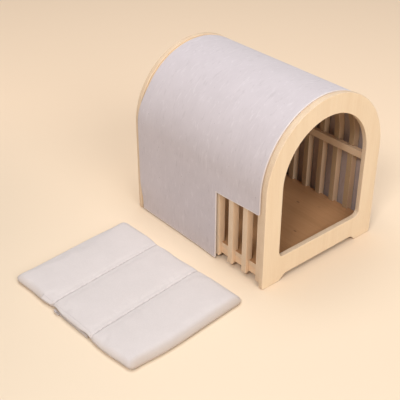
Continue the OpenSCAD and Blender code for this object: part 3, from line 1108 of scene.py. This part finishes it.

# %% [markdown]
# ## The quilted mat
#
# The mat is one cloth cover with soft filling, sewn through along two lines, so it has three channels and
# folds at the lines. It is modelled in axes of its own, square and flat, and set in its leaning place at
# the end: the fold joints of the frame say where the seams lie. The cloth is painted darker along the
# seams, as painted shade in their valleys, and painted browner at its front and left rims, as painted
# shade where the round rim turns down to the floor. It reads both from numbers stored on its points.

# %% Mat cloth
CLOTH_PALE = tone(0.690, 0.620, 0.600)
CLOTH_SHADE = tone(0.620, 0.555, 0.535)
CLOTH_SEAM_SHADE = tone(0.44, 0.38, 0.37)
CLOTH_RIM_SHADE = tone(0.50, 0.40, 0.325)
THREADS_PER_M = 850
NAP_PER_M = 420
CLOTH_CLOUDS = 24
SEAM_DOTS = 150
RIM_SHADE_SHARE = 0.85
CLOTH_RELIEF = 0.0004


def mat_finish(name, pale=CLOTH_PALE, shaded=CLOTH_SHADE):
    """A soft woven cloth: two crossing rows of threads under a short nap."""
    material, place, shade = new_material(name)
    turns = 2 * math.pi * THREADS_PER_M
    warp = place.math("SINE", place.axis("X") * turns)
    weft = place.math("SINE", place.axis("Y") * turns)
    nap = place.noise(NAP_PER_M, 3.0, 0.5)
    clouds = place.noise(CLOTH_CLOUDS, 3.0).step(0.3, 0.7)
    dots = place.noise(SEAM_DOTS, 1.0).step(0.4, 0.62)
    unshaded = (clouds * 0.25 + nap.step(0.3, 0.7) * 0.35).mix(pale, shaded)
    # Painted shade: the front and left rims are browner, where the round rim turns down to the floor.
    cloth = (place.stored("rim") * RIM_SHADE_SHARE).mix(unshaded, CLOTH_RIM_SHADE)
    shade({
        # Painted shade: the cloth is darker along the seams, where their valleys fall into shade.
        "Base Color": (place.stored("sewn") * (0.15 + dots * 0.55)).mix(cloth, CLOTH_SEAM_SHADE),
        "Roughness": 0.95,
        "Sheen Weight": 0.2,
        "Sheen Roughness": 0.5,
        "Specular IOR Level": 0.15,
        "Normal": (nap + warp * weft * 0.25).bump(CLOTH_RELIEF),
    })
    return material


mat_cloth = mat_finish("mat_cloth")
print("cloth of", THREADS_PER_M, "threads to the metre")

# %% Mat axes
FRONT_SEAM = Vector(JOINTS["mat_front_fold"]["pos_m"])
REAR_SEAM = Vector(JOINTS["mat_rear_fold"]["pos_m"])
SEAM_WAY = Vector(JOINTS["mat_rear_fold"]["axis"]).normalized()
UP = Vector((0, 0, 1))
ALONG = (REAR_SEAM - FRONT_SEAM).normalized()
ACROSS = SEAM_WAY / SEAM_WAY.dot(ALONG.cross(UP))
HALF_SEAMS = (REAR_SEAM - FRONT_SEAM).length / 2
MAT_MIDDLE = (FRONT_SEAM + REAR_SEAM) / 2
MAT_MIDDLE.z = 0
TO_PLACE = Matrix((ACROSS, ALONG, UP)).transposed().to_4x4()
TO_PLACE.translation = MAT_MIDDLE
TO_SQUARE = TO_PLACE.inverted()
print("seams of the mat at", round(HALF_SEAMS, 4), "m from its middle")

# %% [markdown]
# ### Stuffing
#
# The three frame solids are joined and remeshed into even squares. The cover is fuller than they are, so
# the skin is made higher, with a flatter crown and a round rim. The filling spreads its outline a little,
# but not where the zip lies. The underside is tucked in, and two corners have slumped. The sides are
# drawn in at the rear seam, on the right at the waist and on the left beside the rear channel. A cloth
# simulation then holds the skin where it is sewn and blows it up from inside, with cloth that is a trifle
# too large. No point may move further than the filling would push it, and a light smoothing takes the
# simulation's small creases out.

# %% Skin of the mat
VOXEL = 0.004
FLAT_HEM = 0.0055
CROWN_FROM = 0.011
CROWN_KEPT = 0.45
PLUMP = 1.5
HEM_Z = FLAT_HEM * PLUMP
RIM_W = 0.014
RIM_SHARE = 0.42
TUCK = 0.001
TUCK_REACH = 0.02
SPREAD = 0.003
LEFT_SPREAD = 0.0025
ZIP_ROOM = (0.0085, 0.012)
ZIP_HALF = (0.060, 0.068)
SLUMPS = ((-1, -1, 0.008, 0.013), (1, 1, 0.0, 0.006))
SLUMP_RUN = 0.072
WAIST_IN = 0.005
REAR_IN = 0.003
SEAM_IN = 0.003
SIDE_RUN = 0.045
SEAM_RUN = 0.02
SIDE_FROM = 0.09
RIM_SHADE_RUN = 0.02
LEFT_SHADE_OFFSET = 0.008


def joined_pads():
    """Copies of the three frame solids in the mat's square axes, as one remeshed skin."""
    pads = []
    for part in ("front", "middle", "rear"):
        pads.append(copied(frame["nodes"]["mat_%s_pad" % part], "pad", TO_SQUARE))
    skin = joined(pads, "stuffed_mat")
    edit(skin)
    close_up()
    leave_edit()
    skin.data.remesh_voxel_size = VOXEL
    bpy.ops.object.voxel_remesh()
    return skin


def drawn_in(value, half, amount):
    """A place moved towards the middle, the more the nearer it is to the edge."""
    near = max(0.0, 1 - (half - abs(value)) / TUCK_REACH)
    return value - amount * near * math.copysign(1, value)


def rim_share(inset):
    """Share of the height that is left at a distance from the edge: a quarter of an ellipse."""
    inwards = min(1.0, max(0.0, inset / RIM_W))
    return RIM_SHARE + (1 - RIM_SHARE) * math.sqrt(1 - (1 - inwards) ** 2)


def hump(value, middle, run=SIDE_RUN):
    """A soft hump of height 1 along a side."""
    return math.exp(-((value - middle) / run) ** 2)


def spread_at(x, y, z):
    """How far the filling pushes the outline out: more on the left, but not where the zip lies."""
    if x > 0:
        return SPREAD
    at_zip = soft_step(abs(y), ZIP_HALF[1], ZIP_HALF[0]) * soft_step(z, ZIP_ROOM[1], ZIP_ROOM[0])
    return (SPREAD + LEFT_SPREAD) * (1 - at_zip)


def full_height(z, inset):
    """Height of the full cover over a point of the solids, at a distance from their edge."""
    z -= (1 - CROWN_KEPT) * max(0.0, z - CROWN_FROM)
    if z > FLAT_HEM:
        z = FLAT_HEM + (z - FLAT_HEM) * rim_share(inset)
    return z * PLUMP


def mark_rim_shade(skin, half_x, half_y):
    """Store on each point how near it lies to the front or the left edge, for the painted shade of the rim.
    """
    # The stored number rim holds the painted shade at the front and left rims.
    rim = skin.data.attributes.new("rim", "FLOAT", "POINT")
    for vertex in skin.data.vertices:
        gap = min(half_y + vertex.co.y, half_x + vertex.co.x + LEFT_SHADE_OFFSET)
        rim.data[vertex.index].value = 1 - soft_step(gap, 0.0, RIM_SHADE_RUN)


def ease_outline(skin, half_x, half_y):
    """Raise the skin, spread it, tuck its underside in, slump two corners and draw its sides in."""
    for vertex in skin.data.vertices:
        x, y, z = vertex.co
        under = TUCK * max(0.0, 1 - z / FLAT_HEM)
        z = full_height(z, min(half_x - abs(x), half_y - abs(y)))
        right, left = soft_step(x, SIDE_FROM, half_x), soft_step(-x, SIDE_FROM, half_x)
        ends = soft_step(abs(y), SIDE_FROM, half_y)
        across = drawn_in(x, half_x, under - spread_at(x, y, z))
        along = drawn_in(y, half_y, under - SPREAD)
        for side, end, in_x, in_y in SLUMPS:
            across -= side * in_x * hump(y, end * half_y, SLUMP_RUN) * (right if side > 0 else left)
            along -= end * in_y * hump(x, side * half_x, SLUMP_RUN) * ends * (y * end > 0)
        across -= WAIST_IN * hump(y, 0.0) * right - REAR_IN * hump(y, 2 * HALF_SEAMS) * left
        across -= SEAM_IN * hump(y, HALF_SEAMS, SEAM_RUN) * (right - left)
        vertex.co = (across, along, z)


mat_skin = joined_pads()
half_sizes = [max(abs(v.co[k]) for v in mat_skin.data.vertices) for k in range(2)]
mark_rim_shade(mat_skin, *half_sizes)
ease_outline(mat_skin, *half_sizes)
print("mat skin reaches", [round(max(v.co[k] for v in mat_skin.data.vertices), 4) for k in range(3)])

# %% Stuffed mat
SEWN_REACH = 0.005
HEM_HALF = 0.0025
PUFF_FRAMES = 20
PUFF_PRESSURE = 4.0
PUFF_LIMIT = 0.0018
SLACK = -0.01
SMOOTH_PASSES = 6
SMOOTH_FACTOR = 0.5


def seam_gap(place):
    """Distance of a point from the nearer seam, in the mat's square axes."""
    return abs(abs(place.y) - HALF_SEAMS)


def hold(skin):
    """A group of the points at the seams, the hem and the underside."""
    held = skin.vertex_groups.new(name="held")
    for vertex in skin.data.vertices:
        if seam_gap(vertex.co) < SEWN_REACH or vertex.co.z < HEM_Z + HEM_HALF:
            held.add([vertex.index], 1.0, "REPLACE")


def puff_up(skin):
    """Blow the skin up a little, where it isn't held."""
    rest = [v.co.copy() for v in skin.data.vertices]
    cloth = skin.modifiers.new("stuffing", "CLOTH")
    cloth.settings.vertex_group_mass = "held"
    cloth.settings.use_pressure = True
    cloth.settings.uniform_pressure_force = PUFF_PRESSURE
    cloth.settings.shrink_min = SLACK
    cloth.settings.effector_weights.gravity = 0
    for count in range(1, PUFF_FRAMES + 1):
        bpy.context.scene.frame_set(count)
    make_active(skin)
    bpy.ops.object.modifier_apply(modifier=cloth.name)
    bpy.context.scene.frame_set(1)
    for vertex, place in zip(skin.data.vertices, rest):
        push = vertex.co - place
        vertex.co = place + push * min(1.0, PUFF_LIMIT / max(push.length, 1e-9))


hold(mat_skin)
puff_up(mat_skin)
add_modifier(mat_skin, "SMOOTH", factor=SMOOTH_FACTOR, iterations=SMOOTH_PASSES, vertex_group="held",
             invert_vertex_group=True)
add_modifier(mat_skin, "SUBSURF", levels=1, render_levels=1)
print("mat skin faces:", len(mat_skin.data.polygons))

# %% [markdown]
# ### Seams
#
# The sewing thread pulls the cloth into a narrow valley along each seam, with small puckers beside it.
# Bisecting the skin along the seam gives rows of points just there. They are set to the height of the
# cloth on both sides, less the valley, and short wrinkles run out from the stitches.

# %% Sewn valleys
ROWS = (-0.0045, -0.0024, -0.0011, 0.0, 0.0011, 0.0024, 0.0045)
BANK = 0.0095
VALLEY_DEPTH = 0.0018
VALLEY_HALF = 0.0026
SEAM_WANDER = 0.0007
WANDERS_PER_M = 30
PUCKER = 0.0005
PUCKER_REACH = 0.012
PUCKERS_PER_M = 75
AT_STITCH = 0.4
RAY_FROM = 0.05


def cut_rows(skin):
    """Rows of edges along both seams."""
    edit(skin)
    for side in (-1, 1):
        for row in ROWS:
            pick_all()
            bpy.ops.mesh.bisect(plane_co=(0, side * HALF_SEAMS + row, 0), plane_no=(0, 1, 0))
    leave_edit()


def tree_of(piece):
    """A search tree of a piece's faces, for casting rays at it."""
    shell = bmesh.new()
    shell.from_mesh(piece.data)
    tree = BVHTree.FromBMesh(shell)
    shell.free()
    return tree


def height_at(tree, x, y, way=1):
    """Height of the cloth above a place, or below it with a way of -1."""
    hit = tree.ray_cast(Vector((x, y, way * RAY_FROM)), Vector((0, 0, -way)))[0]
    return hit.z if hit else None


def seam_y(x, side):
    """Place of a seam along the mat: it wanders a little from the straight line."""
    return side * HALF_SEAMS + SEAM_WANDER * noise.noise((x * WANDERS_PER_M, side * 5.0, 0.7))


def sew(skin):
    """Fill the deep grooves of the solids and press the stitched valleys."""
    tree = tree_of(skin)
    for vertex in skin.data.vertices:
        gap = seam_gap(vertex.co)
        if gap > PUCKER_REACH * 2:
            continue
        x, y, z = vertex.co
        way = 1 if z > HEM_Z else -1
        seam = math.copysign(HALF_SEAMS, y)
        if gap < BANK:
            banks = [height_at(tree, x, seam + side * BANK, way) for side in (-1, 1)]
            if None in banks:
                continue
            share = (y - seam + BANK) / (2 * BANK)
            z = banks[0] * (1 - share) + banks[1] * share
            z -= way * VALLEY_DEPTH * hump(y, seam_y(x, math.copysign(1, y)), VALLEY_HALF)
        wrinkle = noise.noise((x * PUCKERS_PER_M, seam * 10, 0.3)) * math.exp(-gap / PUCKER_REACH)
        vertex.co.z = max(0.0, z + way * PUCKER * wrinkle * min(1.0, gap / VALLEY_HALF + AT_STITCH))


cut_rows(mat_skin)
sew(mat_skin)
print("seams sewn")

# %% [markdown]
# ### Stitches
#
# A stitch is a short bead of thread that lies on the cloth. One is modelled, from a sphere of few faces,
# and copied along the seams: rays cast down at the cloth give the height of each. Half the thread lies
# inside the cloth, so that the beads look pulled in.

# %% Stitches
THREAD_PALE = tone(0.60, 0.53, 0.515)
THREAD_SHADE = tone(0.46, 0.395, 0.385)
STITCH_L = 0.0031
STITCH_R = 0.00045
STITCH_STEP = 0.0043
SEAM_REACH = 0.1485
QUARTER_TURN = math.pi / 2
TWIST_RAD_PER_M = 9000.0
TWIST_RELIEF = 0.0001


def thread_finish():
    """Twisted thread: slanting bands round each bead."""
    material, place, shade = new_material("sewing_thread")
    twist = place.math("SINE", (place.axis("X") + place.axis("Y")) * TWIST_RAD_PER_M).step(-1.0, 1.0)
    shade({
        "Base Color": twist.mix(THREAD_PALE, THREAD_SHADE),
        "Roughness": 0.75,
        "Normal": twist.bump(TWIST_RELIEF),
    })
    return material


def bead(name):
    """One stitch along X in the middle of the axes."""
    fresh_start()
    bpy.ops.mesh.primitive_uv_sphere_add(segments=6, ring_count=4, radius=1, rotation=(0, QUARTER_TURN, 0))
    bpy.context.object.scale = (STITCH_R, STITCH_R, STITCH_L / 2)
    stitch = settled(name)
    bpy.ops.object.shade_smooth()
    return finish_all(stitch, thread_finish())


def stitch_at(tree, x, y, turn=0.0):
    """A copy of the stitch on the cloth, turned about its own middle."""
    place = Matrix.Translation((x, y, height_at(tree, x, y))) @ Matrix.Rotation(turn, 4, "Z")
    return copied(master_stitch, "stitch", place)


master_stitch = bead("master_stitch")
skin_tree = tree_of(mat_skin)
along_seam = [-SEAM_REACH + k * STITCH_STEP for k in range(1 + int(2 * SEAM_REACH / STITCH_STEP))]
seam_stitches = [stitch_at(skin_tree, x, seam_y(x, side)) for side in (-1, 1) for x in along_seam
                 if height_at(skin_tree, x, seam_y(x, side))]
stitching = joined(seam_stitches, "seam_stitching")
stitching.data.transform(TO_PLACE)
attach(stitching, "mat_middle")
print("stitches on the seams:", len(seam_stitches))

# %% [markdown]
# ### Placket
#
# A strip of the same cloth, a placket, covers the upper edge of the zip along the mat's left side. A flat
# grid is laid over that edge, drawn onto the cloth by a shrinkwrap and given its thickness. It is
# topstitched, and ends at the rear in a short bar of close stitches. It crosses a seam, so it is made in
# two lengths that meet there.

# %% Placket
PLACKET_W = 0.0125
PLACKET_T = 0.0008
PLACKET_LIFT = 0.0004
PLACKET_OUT = 0.0012
PLACKET_LOW = 0.0115
PLACKET_RISE = 0.0075
PLACKET_FRONT = -0.066
PLACKET_REAR = 0.108
PLACKET_GAP = 0.003
PLACKET_ROWS_PER_M = 350
PLACKET_COLUMNS = 6
TOPSTITCH_IN = 0.0095
BAR_IN = (0.002, 0.011)
BAR_STEP = 0.0008
MAT_LEFT = min(v.co.x for v in mat_skin.data.vertices)


def placket(name, first, last):
    """A strip of cloth wrapped over the left edge, from one place along the mat to another."""
    fresh_start()
    rows = round((last - first) * PLACKET_ROWS_PER_M)
    bpy.ops.mesh.primitive_grid_add(x_subdivisions=PLACKET_COLUMNS, y_subdivisions=rows, size=1)
    strip = settled(name)
    for vertex in strip.data.vertices:
        inset, run = vertex.co.x + 0.5, vertex.co.y + 0.5
        vertex.co = (MAT_LEFT - PLACKET_OUT + PLACKET_W * inset, first + (last - first) * run,
                     PLACKET_LOW + PLACKET_RISE * inset)
    add_modifier(strip, "SHRINKWRAP", target=mat_skin, wrap_method="NEAREST_SURFACEPOINT",
                 wrap_mode="ABOVE_SURFACE", offset=PLACKET_LIFT)
    add_modifier(strip, "SOLIDIFY", thickness=PLACKET_T, offset=1.0)
    add_modifier(strip, "SUBSURF", levels=1, render_levels=1)
    bpy.ops.object.shade_smooth()
    return finish_all(strip, mat_cloth)


def topstitched(strip, first, last):
    """Stitches along the strip's inner edge."""
    tree = tree_of(strip)
    x = MAT_LEFT + TOPSTITCH_IN
    rows = [first + STITCH_STEP * (k + 0.75) for k in range(int((last - first) / STITCH_STEP) - 1)]
    return [stitch_at(tree, x, y, QUARTER_TURN) for y in rows if height_at(tree, x, y)]


def bar_tack(strip, y):
    """Close stitches right across the strip."""
    tree = tree_of(strip)
    count = int((BAR_IN[1] - BAR_IN[0]) / BAR_STEP)
    rows = [MAT_LEFT + BAR_IN[0] + BAR_STEP * k for k in range(count)]
    return [stitch_at(tree, x, y, QUARTER_TURN) for x in rows if height_at(tree, x, y)]


def sewn_placket(name, first, last, tacked):
    """A strip with its stitches, set in its place."""
    strip = placket(name, first, last)
    stitches = topstitched(strip, first, last)
    if tacked:
        stitches += bar_tack(strip, last - STITCH_L / 2)
    strip = joined([strip] + stitches, name)
    strip.data.transform(TO_PLACE)
    return strip


middle_placket = sewn_placket("placket_middle", PLACKET_FRONT, HALF_SEAMS - PLACKET_GAP, False)
rear_placket = sewn_placket("placket_rear", HALF_SEAMS + PLACKET_GAP, PLACKET_REAR, True)
bpy.data.objects.remove(master_stitch)
print("placket of", round(PLACKET_REAR - PLACKET_FRONT, 3), "m in two lengths")

# %% [markdown]
# ### Three channels
#
# The frame folds the mat at its seams, so the skin is cut there into three closed channels. The middle
# channel and the middle length of the placket ride on the middle body; the outer two channels and the
# rear length of the placket stay where they lie.

# %% Cut at the seams
SEAM_SHADE = 0.0021
MAT_CREASE = math.radians(60)


def channel(name, node, cuts):
    """A copy of the skin, cut off and closed at its seams, darkened there with painted shade and set in its
    place.
    """
    piece = copied(mat_skin, name, Matrix.Identity(4))
    edit(piece)
    for place, keep_rear in cuts:
        pick_all()
        bpy.ops.mesh.bisect(plane_co=(0, place, 0), plane_no=(0, 1, 0), use_fill=True,
                            clear_inner=keep_rear, clear_outer=not keep_rear)
    leave_edit()
    make_active(piece)
    bpy.ops.object.shade_smooth_by_angle(angle=MAT_CREASE)
    # The stored number sewn holds the painted shade along the seams.
    sewn = piece.data.attributes.new("sewn", "FLOAT", "POINT")
    for vertex in piece.data.vertices:
        x, y = vertex.co.xy
        sewn.data[vertex.index].value = hump(y, seam_y(x, math.copysign(1, y)), SEAM_SHADE)
    piece.data.transform(TO_PLACE)
    finish_all(piece, mat_cloth)
    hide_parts(node)
    print(name, "faces:", len(piece.data.polygons))
    return piece


middle_channel = channel("mat_middle_channel", "mat_middle_pad",
                         ((-HALF_SEAMS, True), (HALF_SEAMS, False)))
front_channel = channel("mat_front_channel", "mat_front_pad", ((-HALF_SEAMS, False),))
rear_channel = channel("mat_rear_channel", "mat_rear_pad", ((HALF_SEAMS, True),))
bpy.data.objects.remove(mat_skin)
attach(middle_channel, "mat_middle")
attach(middle_placket, "mat_middle")
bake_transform(front_channel)
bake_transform(rear_channel)
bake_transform(rear_placket)

# %% [markdown]
# ## Zip
#
# A zip in the mat's left edge lets the filling out for washing. A narrow tape carries two rows of small
# teeth that stand between each other, and a slider with a pull tab runs along them. One tooth is modelled
# and repeated by an array. The slider is a block narrowed at one end, with a bridge that holds the tab.

# %% Zip tape
TAPE_T = 0.0005
TOOTH_PITCH = 0.002
TOOTH_L = 0.0011
TOOTH_REACH = 0.0014
TOOTH_SOFT = 0.0002
TAPE_PALE = tone(0.71, 0.64, 0.62)
TAPE_SHADE = tone(0.60, 0.53, 0.51)
TEETH_PALE = tone(0.55, 0.48, 0.46)
TEETH_SHADE = tone(0.47, 0.41, 0.39)


def square_box(node):
    """A node's lowest and highest corners in the mat's square axes."""
    places = [TO_SQUARE @ v.co for v in frame["nodes"][node].data.vertices]
    return [Vector([way(p[k] for p in places) for k in range(3)]) for way in (min, max)]


def tooth_row(name, low_z, high_z, start):
    """A row of teeth along the tape, from one place on."""
    tooth = block(name, (tape_low.x, start, low_z), (tape_high.x - TAPE_T, start + TOOTH_L, high_z))
    ease_edges(tooth, TOOTH_SOFT, 1)
    count = int((tape_high.y - start) / TOOTH_PITCH)
    add_modifier(tooth, "ARRAY", count=count, use_relative_offset=False, use_constant_offset=True,
                 constant_offset_displace=(0, TOOTH_PITCH, 0))
    return finish_all(tooth, zip_teeth)


tape_low, tape_high = square_box("zip_tape")
TAPE_MID = (tape_low.z + tape_high.z) / 2
zip_cloth = mat_finish("zip_cloth", TAPE_PALE, TAPE_SHADE)
zip_teeth = mat_finish("zip_teeth", TEETH_PALE, TEETH_SHADE)
tape = block("tape", (tape_high.x - TAPE_T, tape_low.y, tape_low.z), tape_high)
ease_edges(tape, TAPE_T / 4, 2)
finish_all(tape, zip_cloth)
OVERLAP = TOOTH_REACH / 4
upper_teeth = tooth_row("upper_teeth", TAPE_MID - OVERLAP, TAPE_MID + TOOTH_REACH, tape_low.y + TOOTH_L)
lower_teeth = tooth_row("lower_teeth", TAPE_MID - TOOTH_REACH, TAPE_MID + OVERLAP,
                        tape_low.y + TOOTH_L + TOOTH_PITCH / 2)
toothed_tape = joined([tape, upper_teeth, lower_teeth], "toothed_zip_tape")
toothed_tape.data.transform(TO_PLACE)
stand_for(toothed_tape, "mat_middle", "zip_cloth", "zip_tape")
print("zip of", round(tape_high.y - tape_low.y, 3), "m")

# %% Zip slider
SLIDER_T = 0.0026
SLIDER_L = 0.009
SLIDER_NOSE = 0.62
SLIDER_SOFT = 0.0007
PULL_H = 0.0045
PULL_T = 0.0012
PULL_NECK = 0.6
PULL_ROUND = 0.0018
PULL_HOLE_R = 0.0011
PULL_HOLE_IN = 0.0027
BRIDGE_L = 0.0045
BRIDGE_H = 0.0014
BRIDGE_SINK = 0.00024
LACQUER_DARK = tone(0.52, 0.45, 0.43)
LACQUER_PALE = tone(0.60, 0.53, 0.51)
slider_low, slider_high = square_box("zip_slider")
PULL_OUT = slider_low.x
PULL_FRONT = slider_low.y
SLIDER_REAR = slider_high.y


def slider_body():
    """A block with its front end narrowed, as the mouth of a slider is."""
    body = block("slider_body", (slider_high.x - SLIDER_T, SLIDER_REAR - SLIDER_L, slider_low.z), slider_high)
    edit(body)
    pick(body, "FACE", lambda middle, corners: middle.y < SLIDER_REAR - SLIDER_L + TINY)
    scale_about((slider_high.x, SLIDER_REAR, TAPE_MID), z=SLIDER_NOSE)
    leave_edit()
    ease_edges(body, SLIDER_SOFT)
    return body


def pull_tab():
    """A flat tab with a narrow neck, a round end and a hole."""
    neck = SLIDER_REAR - SLIDER_L / 2
    tab = block("pull_tab", (PULL_OUT, PULL_FRONT, TAPE_MID - PULL_H / 2),
                (PULL_OUT + PULL_T, neck, TAPE_MID + PULL_H / 2))
    edit(tab)
    pick(tab, "FACE", lambda middle, corners: middle.y > neck - TINY)
    scale_about((PULL_OUT, neck, TAPE_MID), z=PULL_NECK)
    pick(tab, "EDGE", lambda middle, corners: all(c.y < PULL_FRONT + TINY for c in corners)
         and abs(corners[0].x - corners[-1].x) > PULL_T / 2)
    round_off(PULL_ROUND, 5)
    leave_edit()
    hole = rod("hole", PULL_HOLE_R, -SPARE, SPARE, 20)
    hole.data.transform(Matrix.Rotation(QUARTER_TURN, 4, "Y"))
    hole.data.transform(Matrix.Translation((PULL_OUT, PULL_FRONT + PULL_HOLE_IN, TAPE_MID)))
    cut_away(tab, hole)
    ease_edges(tab, PULL_T / 5, 2)
    return tab


def bridge():
    """The loop on the slider's back that holds the tab."""
    middle = SLIDER_REAR - SLIDER_L / 2
    loop = block("bridge", (PULL_OUT + BRIDGE_SINK, middle - BRIDGE_L / 2, TAPE_MID - BRIDGE_H / 2),
                 (slider_high.x - SLIDER_T / 2, middle + BRIDGE_L / 2, TAPE_MID + BRIDGE_H / 2))
    ease_edges(loop, BRIDGE_H / 3)
    return loop


slider = joined([slider_body(), pull_tab(), bridge()], "slider_with_pull")
finish_all(slider, metal_finish("slider_lacquer", LACQUER_DARK, LACQUER_PALE, 0.2))
slider.data.transform(TO_PLACE)
stand_for(slider, "zip", "zip_metal", "zip_slider")
print("slider faces:", len(slider.data.polygons))
